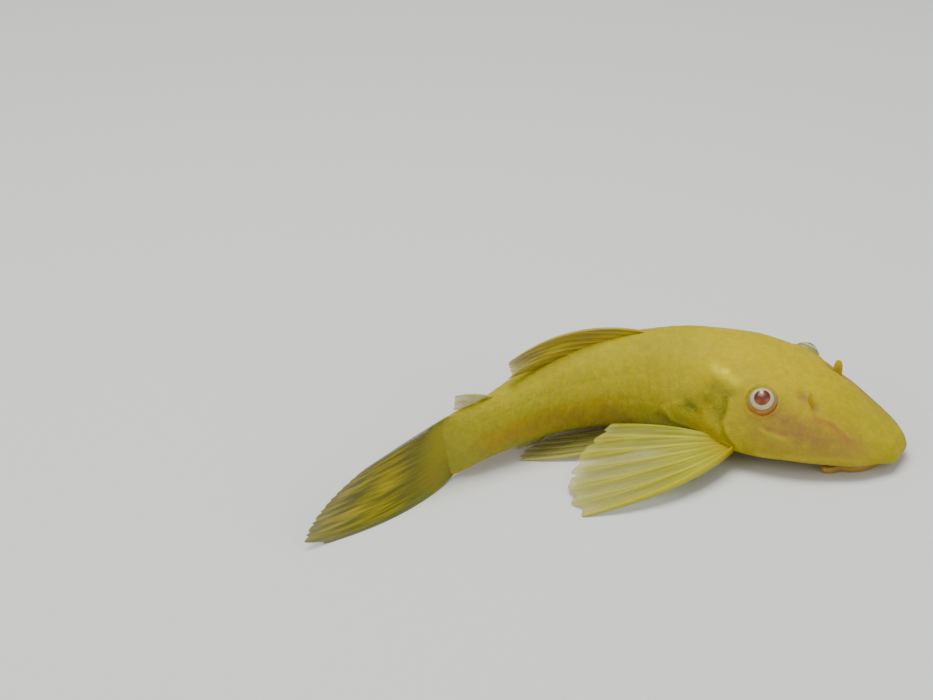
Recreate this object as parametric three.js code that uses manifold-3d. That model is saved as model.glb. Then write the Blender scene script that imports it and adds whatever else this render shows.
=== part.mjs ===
// A young adult albino bristlenose pleco at life size, resting on its sucker mouth, its paired fins
// and the lower edge of its tail fin, with the tail swung round to its right.
// Millimetres, +Z up, snout towards +X, the fish's right flank towards -Y.
import * as THREE from "three";
import { mergeVertices } from "three/addons/utils/BufferGeometryUtils.js";
import Module from "manifold-3d";

const wasm = await Module();
wasm.setup();

// Driving dimensions
const STANDARD_LENGTH = 53; // snout tip to the root of the tail fin
const GAP = 0.3; // left between pieces that touch
const MEMBRANE = 0.5; // thickness of a fin between its rays
const FLOOR_BITE = 0.12; // what the floor takes off a fin that rests on it

// Pose, in degrees: where the head points, and how the body turns behind it
const HEAD_HEADING = -27.5; // towards the fish's right of +X
const BODY_SWING = 70; // sideways turn between the head and the tail root
const SWING_FROM = 23; // percent of the standard length behind the snout
const SWING_TO = 86;
const TAIL_FIN_SWING = 3; // the further turn along the tail fin
const BODY_RISE = 1.8; // the back climbs behind the head
const BODY_DROP = 5.2; // and comes down again to the tail
const TAIL_FIN_LEVELLING = 2.3;
const PATH_LEVEL = 6; // height of the bending line, in percent of the standard length

// Body stations in percent of the standard length: distance from the snout, half width, top,
// bottom, level of the widest point, and how square the back and the belly are
const STATIONS = [
  [0, 0, 1.8, 1.8, 1.8, 2, 2],
  [0.3, 3.5, 3.9, 1.1, 1.7, 2.2, 2.8],
  [1, 5.7, 5.1, 1.2, 1.8, 2.2, 3.0],
  [2.5, 7.9, 6.0, 1.7, 2.3, 2.1, 2.8],
  [4, 9.5, 6.8, 1.9, 2.7, 2.0, 2.8],
  [9, 12.7, 9.6, 2.0, 3.5, 1.9, 2.8],
  [16, 15.5, 13.9, 1.9, 4.0, 1.87, 2.9],
  [25, 17.0, 17.5, 0.9, 4.6, 1.85, 3.0],
  [33, 16.1, 19.3, 0.4, 5.4, 1.8, 3.0],
  [42, 13.1, 19.4, 0.2, 6.2, 1.75, 2.9],
  [52, 11.0, 18.4, 0.3, 6.8, 1.75, 2.8],
  [64, 8.6, 16.8, 0.6, 7.4, 1.8, 2.6],
  [78, 5.7, 14.9, 1.3, 7.8, 1.9, 2.4],
  [90, 3.7, 13.4, 1.5, 7.4, 2.0, 2.2],
  [100, 2.5, 13.9, 0.6, 7.2, 2.0, 2.0],
];

// Armour: plates in lengthwise rows, from behind the head to the tail root
const PLATE_COUNT = 24;
const PLATES_FROM = 37; // percent of the standard length
const PLATE_RELIEF = 0.2; // how far a plate's rear edge stands over the next one
const PLATE_CHEVRON = 0.9; // how far a row's edge sweeps back at its middle
const PLATE_ROWS = [-63, -27, 9, 36, 63]; // degrees round the flank where one row meets the next

const AROUND = 40; // points round the body
const HEAD_RINGS = 22;

const percent = (share) => (share * STANDARD_LENGTH) / 100;
const radians = (angle) => THREE.MathUtils.degToRad(angle);
const smooth = (value, from, to) => THREE.MathUtils.smoothstep(value, from, to);
const mix = THREE.MathUtils.lerp;

// A smooth curve through points, which never overshoots them
function curveThrough(xs, ys) {
  const steps = xs.slice(1).map((x, i) => x - xs[i]);
  const slopes = steps.map((step, i) => (ys[i + 1] - ys[i]) / step);
  const tangents = xs.map((_, i) => {
    if (i === 0) return slopes[0];
    if (i === xs.length - 1) return slopes[i - 1];
    const [before, after] = [slopes[i - 1], slopes[i]];
    return before * after <= 0 ? 0 : (2 * before * after) / (before + after);
  });
  return (x) => {
    const found = xs.findIndex((limit, i) => i > 0 && x <= limit);
    const i = found < 0 ? xs.length - 2 : found - 1;
    const t = THREE.MathUtils.clamp((x - xs[i]) / steps[i], 0, 1);
    return (
      (2 * t ** 3 - 3 * t ** 2 + 1) * ys[i] +
      (t ** 3 - 2 * t ** 2 + t) * steps[i] * tangents[i] +
      (3 * t ** 2 - 2 * t ** 3) * ys[i + 1] +
      (t ** 3 - t ** 2) * steps[i] * tangents[i + 1]
    );
  };
}

// The stations as curves over the root of the distance, which rounds the snout
const roots = STATIONS.map((row) => Math.sqrt(row[0]));
const [halfWidth, top, bottom, widest, backSquareness, bellySquareness] = [1, 2, 3, 4, 5, 6].map(
  (column) => {
    const curve = curveThrough(roots, STATIONS.map((row) => row[column]));
    return (share) => curve(Math.sqrt(Math.max(share, 0)));
  },
);

// Relief of the armour: 0 at a plate's front edge and in the grooves between rows
function rowRelief(degrees) {
  const folded = degrees > 90 ? 180 - degrees : degrees;
  const edges = [...PLATE_ROWS, 117];
  for (let i = 0; i + 1 < edges.length; i++) {
    if (folded >= edges[i] && folded < edges[i + 1]) {
      const across = (folded - edges[i]) / (edges[i + 1] - edges[i]);
      return Math.sqrt(Math.sin(Math.PI * across));
    }
  }
  return 0;
}

// A point of the body's skin before it bends: distance from the snout, left, up.
// The turn runs from -90 degrees at the belly over the left flank and the back to 270.
function bodyPoint(share, degrees, grow = 0, relief = 0) {
  const angle = radians(degrees);
  const [cos, sin] = [Math.cos(angle), Math.sin(angle)];
  const squareness = sin > 0 ? backSquareness(share) : bellySquareness(share);
  const power = 2 / squareness;
  const level = percent(widest(share));
  const height = sin > 0 ? percent(top(share)) - level : level - percent(bottom(share));
  const out = grow + relief * PLATE_RELIEF * rowRelief(degrees);
  const side = (percent(halfWidth(share)) + out) * Math.sign(cos) * Math.abs(cos) ** power;
  const rise = (height + out) * Math.sign(sin) * Math.abs(sin) ** power;
  return new THREE.Vector3(percent(share), side, level + rise);
}

// The line that the body bends along, from the snout back, with its frame at each step
const PATH_STEPS = 280;
const PATH_END = 140; // percent of the standard length
function swing(share) {
  const turned = BODY_SWING * smooth(share, SWING_FROM, SWING_TO) + TAIL_FIN_SWING * smooth(share, 95, 135);
  return radians(HEAD_HEADING + turned);
}
function dip(share) {
  const dropped = BODY_DROP * smooth(share, 30, 90) - TAIL_FIN_LEVELLING * smooth(share, 90, 125);
  return radians(dropped - BODY_RISE);
}
function frameAt(share) {
  const [yaw, fall] = [swing(share), dip(share)];
  const back = new THREE.Vector3(
    -Math.cos(yaw) * Math.cos(fall),
    -Math.sin(yaw) * Math.cos(fall),
    -Math.sin(fall),
  );
  const left = new THREE.Vector3(-Math.sin(yaw), Math.cos(yaw), 0);
  return { back, left, up: new THREE.Vector3().crossVectors(left, back) };
}
const pathPoints = [new THREE.Vector3(0, 0, percent(PATH_LEVEL))];
for (let i = 1; i <= PATH_STEPS; i++) {
  const step = PATH_END / PATH_STEPS;
  const { back } = frameAt((i - 0.5) * step);
  pathPoints.push(pathPoints[i - 1].clone().addScaledVector(back, percent(step)));
}
function pathAt(share) {
  const place = (THREE.MathUtils.clamp(share, 0, PATH_END) / PATH_END) * PATH_STEPS;
  const i = Math.min(Math.floor(place), PATH_STEPS - 1);
  return pathPoints[i].clone().lerp(pathPoints[i + 1], place - i);
}

// Carries a point of the straight fish to its place in the bent one
function bend(point) {
  const share = (point.x / STANDARD_LENGTH) * 100;
  const { left, up } = frameAt(share);
  return pathAt(share)
    .addScaledVector(left, point.y)
    .addScaledVector(up, point.z - percent(PATH_LEVEL));
}
// The height in the straight fish that comes down to the floor, at a distance from the snout
function floorUnder(share) {
  return percent(PATH_LEVEL) - pathAt(share).z / frameAt(share).up.z;
}

// Turns points and triangles into a closed solid
function solidOf(positions, triangles) {
  const geometry = new THREE.BufferGeometry();
  geometry.setAttribute("position", new THREE.Float32BufferAttribute(positions, 3));
  geometry.setIndex(triangles);
  return closed(geometry);
}
function closed(geometry) {
  const bare = geometry.clone();
  bare.deleteAttribute("normal");
  bare.deleteAttribute("uv");
  const merged = mergeVertices(bare, 1e-4);
  const mesh = { numProp: 3, vertProperties: merged.attributes.position.array };
  let triVerts = new Uint32Array(merged.index.array);
  let solid = new wasm.Manifold(new wasm.Mesh({ ...mesh, triVerts }));
  if (solid.volume() < 0) {
    triVerts = triVerts.map((_, i) => triVerts[i - (i % 3) + ((3 - (i % 3)) % 3)]);
    solid = new wasm.Manifold(new wasm.Mesh({ ...mesh, triVerts }));
  }
  return solid;
}
const largest = (solid) =>
  solid.decompose().reduce((best, piece) => (piece.volume() > best.volume() ? piece : best));
const aboveFloor = (solid) => solid.trimByPlane([0, 0, 1], 0);

// Rings of the body as distances from the snout: close at the snout, then two to a plate
function ringPlaces() {
  const rings = [];
  for (let i = 1; i <= HEAD_RINGS; i++) {
    rings.push({ share: PLATES_FROM * (i / HEAD_RINGS) ** 1.6, relief: 0 });
  }
  const plate = (100 - PLATES_FROM) / PLATE_COUNT;
  for (let i = 0; i < PLATE_COUNT; i++) {
    const front = PLATES_FROM + i * plate;
    rings.push({ share: front + 0.14 * plate, relief: 0 });
    rings.push({ share: front + 0.97 * plate, relief: 1 });
  }
  rings.push({ share: 100, relief: 0 });
  return rings;
}

// The whole body as one closed solid, grown outwards by a clearance
function bodySolid(grow) {
  const positions = [...bend(bodyPoint(0, 0)).toArray()];
  const rings = ringPlaces();
  for (const { share, relief } of rings) {
    const armoured = smooth(share, PLATES_FROM, PLATES_FROM + 8) * (1 - smooth(share, 97, 99.5));
    for (let j = 0; j < AROUND; j++) {
      const degrees = -90 + (360 * j) / AROUND;
      const sweep = PLATE_CHEVRON * armoured * rowRelief(degrees);
      const point = bodyPoint(share + sweep, degrees, grow, relief * armoured);
      positions.push(...bend(point).toArray());
    }
  }
  const last = 1 + (rings.length - 1) * AROUND;
  positions.push(...bend(new THREE.Vector3(percent(100), 0, percent(widest(100)))).toArray());
  const end = positions.length / 3 - 1;
  const triangles = [];
  for (let j = 0; j < AROUND; j++) {
    const next = (j + 1) % AROUND;
    triangles.push(0, 1 + next, 1 + j);
    triangles.push(end, last + j, last + next);
    for (let i = 0; i + 1 < rings.length; i++) {
      const [a, b] = [1 + i * AROUND + j, 1 + i * AROUND + next];
      triangles.push(a, b, a + AROUND, b, b + AROUND, a + AROUND);
    }
  }
  return solidOf(positions, triangles);
}

// A fin as a thin fan: columns follow the rays, with a ridge on each face along every ray.
// root, tip and bow give a column's two ends and its sideways curve at 0 (first ray) to 1 (last).
function finSolid(fin, place = (point) => point) {
  const { rays, steps, root, tip, bow, firstRay = 0.55, rayHeight = 0.2, lastRay = rayHeight } = fin;
  const columns = [];
  for (let ray = 0; ray < rays; ray++) {
    for (const part of ray + 1 < rays ? [0, 0.24, 0.76] : [0]) {
      const outer = ray === 0 ? firstRay : ray === rays - 1 ? lastRay : rayHeight;
      const height = part ? 0 : outer;
      columns.push({ across: (ray + part) / (rays - 1), height, notch: part ? 0.018 : 0 });
    }
  }
  const middle = (across, along) => {
    const [start, end] = [root(across), tip(across)];
    const control = start.clone().lerp(end, 0.5).add(bow(across));
    return new THREE.QuadraticBezierCurve3(start, control, end).getPoint(along);
  };
  const faces = [[], []];
  for (const { across, height, notch } of columns) {
    for (let i = 0; i <= steps; i++) {
      const along = (i / steps) * (1 - notch);
      const centre = middle(across, along);
      const [a0, a1] = [Math.max(across - 0.02, 0), Math.min(across + 0.02, 1)];
      const alongFin = middle(across, along + 0.01).sub(middle(across, along - 0.01));
      const acrossFin = middle(a1, along).sub(middle(a0, along));
      const normal = alongFin.cross(acrossFin).normalize();
      const thin = mix(1, 0.62, along ** 2);
      const half = (MEMBRANE / 2) * thin + height * mix(1, 0.3, along);
      faces[0].push(centre.clone().addScaledVector(normal, half));
      faces[1].push(centre.clone().addScaledVector(normal, -half));
    }
  }
  const rows = steps + 1;
  const offset = columns.length * rows;
  const triangles = [];
  for (let c = 0; c + 1 < columns.length; c++) {
    for (let i = 0; i < steps; i++) {
      const [a, b] = [c * rows + i, (c + 1) * rows + i];
      triangles.push(a, b, a + 1, b, b + 1, a + 1);
      triangles.push(a + offset, a + 1 + offset, b + offset);
      triangles.push(b + offset, a + 1 + offset, b + 1 + offset);
    }
  }
  const rim = [];
  for (let i = 0; i < steps; i++) rim.push(i);
  for (let c = 0; c + 1 < columns.length; c++) rim.push(c * rows + steps);
  for (let i = steps; i > 0; i--) rim.push((columns.length - 1) * rows + i);
  for (let c = columns.length - 1; c > 0; c--) rim.push(c * rows);
  rim.forEach((a, i) => {
    const b = rim[(i + 1) % rim.length];
    triangles.push(a, b, a + offset, b, b + offset, a + offset);
  });
  return solidOf([...faces[0], ...faces[1]].flatMap((p) => place(p).toArray()), triangles);
}

// Body, clearance round it, and its three lengths
const wholeBody = bodySolid(0);
const clearance = bodySolid(GAP);
function cutBetween(solid, share, lean, side) {
  const { back, up } = frameAt(share);
  const normal = back.clone().multiplyScalar(Math.cos(radians(lean)));
  normal.addScaledVector(up, Math.sin(radians(lean)));
  const offset = normal.dot(pathAt(share));
  return side === "front"
    ? solid.trimByPlane(normal.clone().negate().toArray(), -(offset - GAP / 2))
    : solid.trimByPlane(normal.toArray(), offset + GAP / 2);
}
const HEAD_END = 35.5; // percent of the standard length, at the height of the bending line
const HEAD_END_LEAN = -18; // the plate behind the head reaches further back along the nape
const TRUNK_END = 70;

// Eyes, set on the skin and sunk in it
const EYE_AT = 24.6; // percent of the standard length
const EYE_TURN = 41; // degrees up the flank
const EYE_RADIUS = 1.62;
const EYE_SINK = 0.5; // depth of the ball's centre under the skin
const ORBIT_RADIUS = 2.7; // the raised rim round the eye is part of a larger ball
const ORBIT_SINK = 1.75;
function skinFrame(share, degrees) {
  const at = (s, d) => bend(bodyPoint(s, d));
  const point = at(share, degrees);
  const backward = at(share + 0.5, degrees).sub(at(share - 0.5, degrees)).normalize();
  const round = at(share, degrees + 2).sub(at(share, degrees - 2)).normalize();
  const out = new THREE.Vector3().crossVectors(backward, round).normalize();
  return { point, backward, round, out };
}
function ball(centre, radius, round, high) {
  return closed(new THREE.SphereGeometry(radius, round, high).translate(...centre.toArray()));
}
const sides = { right: 180 - EYE_TURN, left: EYE_TURN };
const eyeCentres = {};
const orbitCentres = {};
for (const side in sides) {
  const { point, out } = skinFrame(EYE_AT, sides[side]);
  eyeCentres[side] = point.clone().addScaledVector(out, -EYE_SINK);
  orbitCentres[side] = point.clone().addScaledVector(out, -ORBIT_SINK);
}

// Nostrils: a short upright flap of skin in front of each eye
const NOSTRIL_AT = 15.8;
const NOSTRIL_TURN = 57;
const FLAP_HEIGHT = 1.4;
const FLAP_WIDTH = 1.1;
const FLAP_ROOT = 0.5;
function nostrilFlap(degrees) {
  const { point, backward, round, out } = skinFrame(NOSTRIL_AT, degrees);
  const outline = new THREE.Shape();
  outline.moveTo(-FLAP_WIDTH / 2, -FLAP_ROOT);
  outline.lineTo(FLAP_WIDTH / 2, -FLAP_ROOT);
  outline.quadraticCurveTo(FLAP_WIDTH * 0.62, FLAP_HEIGHT, 0, FLAP_HEIGHT);
  outline.quadraticCurveTo(-FLAP_WIDTH * 0.62, FLAP_HEIGHT, -FLAP_WIDTH / 2, -FLAP_ROOT);
  const flap = new THREE.ExtrudeGeometry(outline, {
    depth: MEMBRANE,
    bevelEnabled: false,
    curveSegments: 6,
  });
  flap.translate(0, 0, -MEMBRANE / 2);
  const lean = backward.clone().multiplyScalar(-1).addScaledVector(out, 0.25).normalize();
  const across = round.clone().addScaledVector(lean, -round.dot(lean)).normalize();
  const rise = new THREE.Vector3().crossVectors(lean, across);
  flap.applyMatrix4(new THREE.Matrix4().makeBasis(across, rise, lean).setPosition(point));
  return closed(flap);
}

function headSolid() {
  let head = cutBetween(wholeBody, HEAD_END, HEAD_END_LEAN, "front");
  for (const side in sides) head = head.add(ball(orbitCentres[side], ORBIT_RADIUS, 24, 14));
  for (const side in sides) {
    const degrees = side === "left" ? NOSTRIL_TURN : 180 - NOSTRIL_TURN;
    head = head.add(nostrilFlap(degrees));
  }
  for (const side in sides) {
    head = head.subtract(ball(eyeCentres[side], EYE_RADIUS + GAP, 24, 14));
  }
  return head;
}

// The sucker mouth: a flat disc of lips with a barbel at each corner and a shallow mouth opening
const LIP_AT = 9.4; // percent of the standard length
const LIP_HALF_WIDTH = 4.3;
const LIP_HALF_LENGTH = 3.1;
const LIP_THICKNESS = 0.7;
const BARBEL_LENGTH = 1.5;
function mouthSolid() {
  const { back, left } = frameAt(LIP_AT);
  const centre = pathAt(LIP_AT).setZ(0);
  const level = new THREE.Vector3(back.x, back.y, 0).normalize();
  const disc = new THREE.Shape();
  const points = 44;
  for (let i = 0; i < points; i++) {
    const angle = (2 * Math.PI * i) / points;
    const corner = Math.max(0, Math.abs(Math.cos(angle - 0.35 * Math.sign(Math.cos(angle)))) - 0.93) / 0.07;
    const reach = 1 + (BARBEL_LENGTH / LIP_HALF_WIDTH) * corner ** 1.5;
    const [x, y] = [Math.cos(angle) * LIP_HALF_WIDTH * reach, Math.sin(angle) * LIP_HALF_LENGTH * reach];
    disc[i ? "lineTo" : "moveTo"](x, y);
  }
  const bevel = 0.15;
  const lips = new THREE.ExtrudeGeometry(disc, {
    depth: LIP_THICKNESS - 2 * bevel,
    bevelThickness: bevel,
    bevelSize: bevel,
    bevelSegments: 1,
  });
  lips.translate(0, 0, bevel);
  const up = new THREE.Vector3(0, 0, 1);
  lips.applyMatrix4(new THREE.Matrix4().makeBasis(left, level, up).setPosition(centre));
  const opening = new THREE.SphereGeometry(1, 20, 10).scale(1.9, 0.8, 0.4);
  opening.applyMatrix4(new THREE.Matrix4().makeBasis(left, level, up).setPosition(centre));
  return closed(lips).subtract(closed(opening));
}

// Paired fins: each spreads from a low root on its flank, with its rays fanned over the floor.
// Lengths, heights and places are percent of the standard length; angles turn out from the flank.
const PECTORAL = {
  rays: 7, at: 31, chord: 4.2, turn: -14, sunk: 5, length: 35, shortest: 19,
  innermost: 14, tipHeight: 0.15, innerTipHeight: 6.4, bowForward: 10.5, bowUp: 2.4,
};
const PELVIC = {
  rays: 6, at: 49.5, chord: 3.6, turn: -58, sunk: 2, length: 29.5, shortest: 18,
  innermost: 5, tipHeight: 0.15, innerTipHeight: 1.2, bowForward: 8, bowUp: 0.6,
};
const SPREAD = { pectoralRight: 61, pectoralLeft: 42, pelvicRight: 20, pelvicLeft: 34 };
function pairedFin(fin, side, spread) {
  const mirror = side === "left" ? 1 : -1;
  const { back, left } = frameAt(fin.at);
  const backward = new THREE.Vector3(back.x, back.y, 0).normalize();
  const outward = left.clone().multiplyScalar(mirror);
  const direction = (degrees) =>
    backward.clone().multiplyScalar(Math.cos(radians(degrees)))
      .addScaledVector(outward, Math.sin(radians(degrees)));
  const angleAt = (across) => mix(spread, fin.innermost, across);
  const turn = side === "left" ? fin.turn : 180 - fin.turn;
  const root = (across) => {
    const skin = bend(bodyPoint(fin.at + fin.chord * across, turn));
    return skin.addScaledVector(direction(angleAt(across)), -percent(fin.sunk));
  };
  const tip = (across) => {
    const length = mix(fin.length, fin.shortest, across ** 1.4) + fin.sunk;
    const point = root(across).addScaledVector(direction(angleAt(across)), percent(length));
    return point.setZ(percent(mix(fin.tipHeight, fin.innerTipHeight, across ** 2)));
  };
  const bow = (across) =>
    direction(angleAt(across) + 90)
      .multiplyScalar(percent(fin.bowForward) * (1 - across))
      .setZ(percent(fin.bowUp));
  const solid = finSolid({ rays: fin.rays, steps: 9, root, tip, bow });
  return largest(aboveFloor(solid.subtract(clearance)));
}

// Median fins, made on the straight fish and bent with it
function medianFin(fin) {
  return largest(aboveFloor(finSolid(fin, bend).subtract(clearance)));
}
const onBack = (share, above, side = 0) =>
  new THREE.Vector3(percent(share), percent(side), percent(top(share) + above));
const DORSAL = {
  from: 48.3, to: 70, spineTip: 82, rearTip: 83.5, spineTipHeight: 4.8, rearTipHeight: 1.6,
};
function dorsalFin() {
  return medianFin({
    rays: 8,
    steps: 9,
    firstRay: 0.25,
    rayHeight: 0.16,
    root: (across) => onBack(mix(DORSAL.from, DORSAL.to, across), -1.6),
    tip: (across) =>
      onBack(
        mix(DORSAL.spineTip, DORSAL.rearTip, across),
        mix(DORSAL.spineTipHeight, DORSAL.rearTipHeight, across),
        0.8 * Math.sin(2 * Math.PI * across),
      ),
    bow: (across) => new THREE.Vector3(0, 0, percent(mix(4.2, 0.6, across))),
  });
}
function adiposeFin() {
  return medianFin({
    rays: 3,
    steps: 7,
    firstRay: 0.28,
    rayHeight: 0.06,
    root: (across) => onBack(mix(85.5, 92, across), -1.4),
    tip: (across) => onBack(mix(97, 97.5, across), mix(3.4, 0.6, across)),
    bow: (across) => new THREE.Vector3(0, 0, percent(mix(1.2, 0.1, across))),
  });
}
function analFin() {
  const underBelly = (share, below) =>
    new THREE.Vector3(percent(share), 0, percent(bottom(share) - below));
  return medianFin({
    rays: 5,
    steps: 7,
    firstRay: 0.2,
    rayHeight: 0.14,
    root: (across) => underBelly(mix(68.5, 73.5, across), -1.6),
    tip: (across) => underBelly(mix(79, 82, across), mix(3.4, 1.5, across)),
    bow: () => new THREE.Vector3(0, 0, -percent(0.3)),
  });
}
// The lowest ray of the tail fin is a little shorter than the next, and both lie bowed on the floor
const TAIL_FIN = {
  rays: 15, longestTip: 138, upperTip: 120, lowestShorter: 5, upperTipHeight: 9.7, roundness: 0.8,
  tipAside: 1.5, bowAside: 3,
};
function tailFin() {
  const start = 100 + (GAP / STANDARD_LENGTH) * 100;
  return medianFin({
    rays: TAIL_FIN.rays,
    steps: 12,
    firstRay: 0.24,
    lastRay: 0.24,
    rayHeight: 0.16,
    root: (across) => {
      const up = mix(bottom(100) + 0.4, top(100) - 0.4, across);
      return new THREE.Vector3(percent(start), 0, percent(up));
    },
    tip: (across) => {
      const full = mix(TAIL_FIN.longestTip, TAIL_FIN.upperTip, across ** 1.5);
      const share = full - TAIL_FIN.lowestShorter * (1 - smooth(across, 0, 0.14));
      const rise = percent(TAIL_FIN.upperTipHeight) * across ** TAIL_FIN.roundness;
      const aside = -TAIL_FIN.tipAside * (1 - across) ** 2;
      return new THREE.Vector3(percent(share), aside, floorUnder(share) - FLOOR_BITE + rise);
    },
    bow: (across) => {
      const aside = -TAIL_FIN.bowAside * (1 - across) ** 2;
      return new THREE.Vector3(0, aside, percent(mix(-1.4, 0.3, across)));
    },
  });
}

// Sub-parts by name, with the finish of each
const skinFinish = { color: 0xd8b23c, roughness: 0.45 };
const finFinish = { color: 0xd9c878, roughness: 0.4 };
const parts = {
  head: [headSolid(), skinFinish],
  trunk: [cutBetween(cutBetween(wholeBody, HEAD_END, HEAD_END_LEAN, "rear"), TRUNK_END, 0, "front"), skinFinish],
  tail: [cutBetween(wholeBody, TRUNK_END, 0, "rear"), skinFinish],
  sucker_mouth: [mouthSolid(), { color: 0xdfb58c, roughness: 0.5 }],
  eye_right: [ball(eyeCentres.right, EYE_RADIUS, 20, 12), { color: 0xc9c2ae, roughness: 0.15 }],
  eye_left: [ball(eyeCentres.left, EYE_RADIUS, 20, 12), { color: 0xc9c2ae, roughness: 0.15 }],
  dorsal_fin: [dorsalFin(), finFinish],
  adipose_fin: [adiposeFin(), finFinish],
  anal_fin: [analFin(), finFinish],
  tail_fin: [tailFin(), finFinish],
  pectoral_fin_right: [pairedFin(PECTORAL, "right", SPREAD.pectoralRight), finFinish],
  pectoral_fin_left: [pairedFin(PECTORAL, "left", SPREAD.pectoralLeft), finFinish],
  pelvic_fin_right: [pairedFin(PELVIC, "right", SPREAD.pelvicRight), finFinish],
  pelvic_fin_left: [pairedFin(PELVIC, "left", SPREAD.pelvicLeft), finFinish],
};

// The finished fish, moved so that the middle of the space it stands on is the origin
const pleco = new THREE.Group();
for (const [name, [solid, finish]] of Object.entries(parts)) {
  const { vertProperties, triVerts } = solid.getMesh();
  const geometry = new THREE.BufferGeometry();
  geometry.setAttribute("position", new THREE.BufferAttribute(vertProperties, 3));
  geometry.setIndex(new THREE.BufferAttribute(triVerts, 1));
  geometry.computeVertexNormals();
  const mesh = new THREE.Mesh(geometry, new THREE.MeshStandardMaterial({ ...finish, metalness: 0 }));
  mesh.name = name;
  pleco.add(mesh);
}
const extent = new THREE.Box3().setFromObject(pleco);
const middle = extent.getCenter(new THREE.Vector3());
pleco.position.set(-middle.x, -middle.y, -extent.min.z);

export default pleco;
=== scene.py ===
"""An albino bristlenose pleco at life size, resting on its sucker mouth and fins.

The fish is worked out in millimetres as if it lay straight, with its snout at 0, and is then bent
along the same line as the solids. Shares are percent of the standard length, which runs from the
snout to the root of the tail fin. Turns are degrees round the body, from -90 at the belly over the
flank to 90 at the back.
"""

import logging
import math
from dataclasses import dataclass, field
from enum import Enum
from typing import Callable

import bpy
import numpy as np
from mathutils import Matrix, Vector


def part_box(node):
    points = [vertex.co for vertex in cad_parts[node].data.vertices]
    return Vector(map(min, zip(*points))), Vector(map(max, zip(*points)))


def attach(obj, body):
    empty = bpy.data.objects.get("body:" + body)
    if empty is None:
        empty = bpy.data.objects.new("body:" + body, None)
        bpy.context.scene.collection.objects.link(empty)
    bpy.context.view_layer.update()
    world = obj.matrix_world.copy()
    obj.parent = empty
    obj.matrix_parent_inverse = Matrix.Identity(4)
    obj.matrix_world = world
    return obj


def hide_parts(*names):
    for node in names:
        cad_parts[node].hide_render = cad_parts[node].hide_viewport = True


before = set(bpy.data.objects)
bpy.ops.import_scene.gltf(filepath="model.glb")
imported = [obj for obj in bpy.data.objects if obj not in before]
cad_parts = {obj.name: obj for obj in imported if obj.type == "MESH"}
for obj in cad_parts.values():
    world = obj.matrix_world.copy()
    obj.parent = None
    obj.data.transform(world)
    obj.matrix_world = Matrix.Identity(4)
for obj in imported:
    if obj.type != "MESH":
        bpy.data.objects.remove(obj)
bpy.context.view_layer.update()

log = logging.getLogger("pleco")

Array = np.ndarray
Colour = tuple[float, float, float]
Line = tuple[tuple[float, float], ...]
Socket = bpy.types.NodeSocket

STANDARD_LENGTH = 53.0
PATH_LEVEL = 6.0


def srgb(red: int, green: int, blue: int) -> Colour:
    """A colour given in screen values from 0 to 255, as the linear light that shaders take."""
    shares = [value / 255 for value in (red, green, blue)]
    return tuple(s / 12.92 if s <= 0.04045 else ((s + 0.055) / 1.055) ** 2.4 for s in shares)


def percent(share: Array | float) -> Array | float:
    """A share of the standard length in millimetres."""
    return np.multiply(share, STANDARD_LENGTH / 100)


def smooth(value: Array | float, low: float, high: float) -> Array:
    """The cubic step 3t^2 - 2t^3, from 0 at low to 1 at high."""
    t = np.clip((np.asarray(value, float) - low) / (high - low), 0.0, 1.0)
    return t * t * (3 - 2 * t)


def mix(start: Array | float, end: Array | float, t: Array | float) -> Array:
    """The straight blend from start at t = 0 to end at t = 1."""
    return np.asarray(start) * (1 - np.asarray(t)) + np.asarray(end) * t


def hill(value: Array, centre: float, width: float) -> Array:
    """The bell curve exp(-((value - centre) / width)^2)."""
    return np.exp(-(((value - centre) / width) ** 2))


def unit(vectors: Array) -> Array:
    """The vectors along the last axis, each divided by its length."""
    return vectors / np.maximum(np.linalg.norm(vectors, axis=-1, keepdims=True), 1e-12)


@dataclass
class Curve:
    """A smooth curve through points that never overshoots them.

    Between two points it is the cubic with their heights, whose slope at a point is the harmonic
    mean of the slopes on both sides, or level where they differ in sign.
    """

    xs: Array
    ys: Array
    slopes: Array = field(init=False)

    def __post_init__(self) -> None:
        """Works out the slope at each point."""
        chords = np.diff(self.ys) / np.diff(self.xs)
        before, after = chords[:-1], chords[1:]
        total = np.where(np.abs(before + after) < 1e-12, 1.0, before + after)
        inner = np.where(before * after <= 0, 0.0, 2 * before * after / total)
        self.slopes = np.concatenate([chords[:1], inner, chords[-1:]])

    def __call__(self, x: Array | float) -> Array:
        """The curve's height at x.

        Args:
            x: places along the curve.

        Returns:
            The heights, in the same shape.
        """
        x = np.asarray(x, float)
        i = np.clip(np.searchsorted(self.xs, x) - 1, 0, len(self.xs) - 2)
        step = self.xs[i + 1] - self.xs[i]
        t = np.clip((x - self.xs[i]) / step, 0, 1)
        return (
            (2 * t**3 - 3 * t**2 + 1) * self.ys[i]
            + (t**3 - 2 * t**2 + t) * step * self.slopes[i]
            + (3 * t**2 - 2 * t**3) * self.ys[i + 1]
            + (t**3 - t**2) * step * self.slopes[i + 1]
        )


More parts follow.
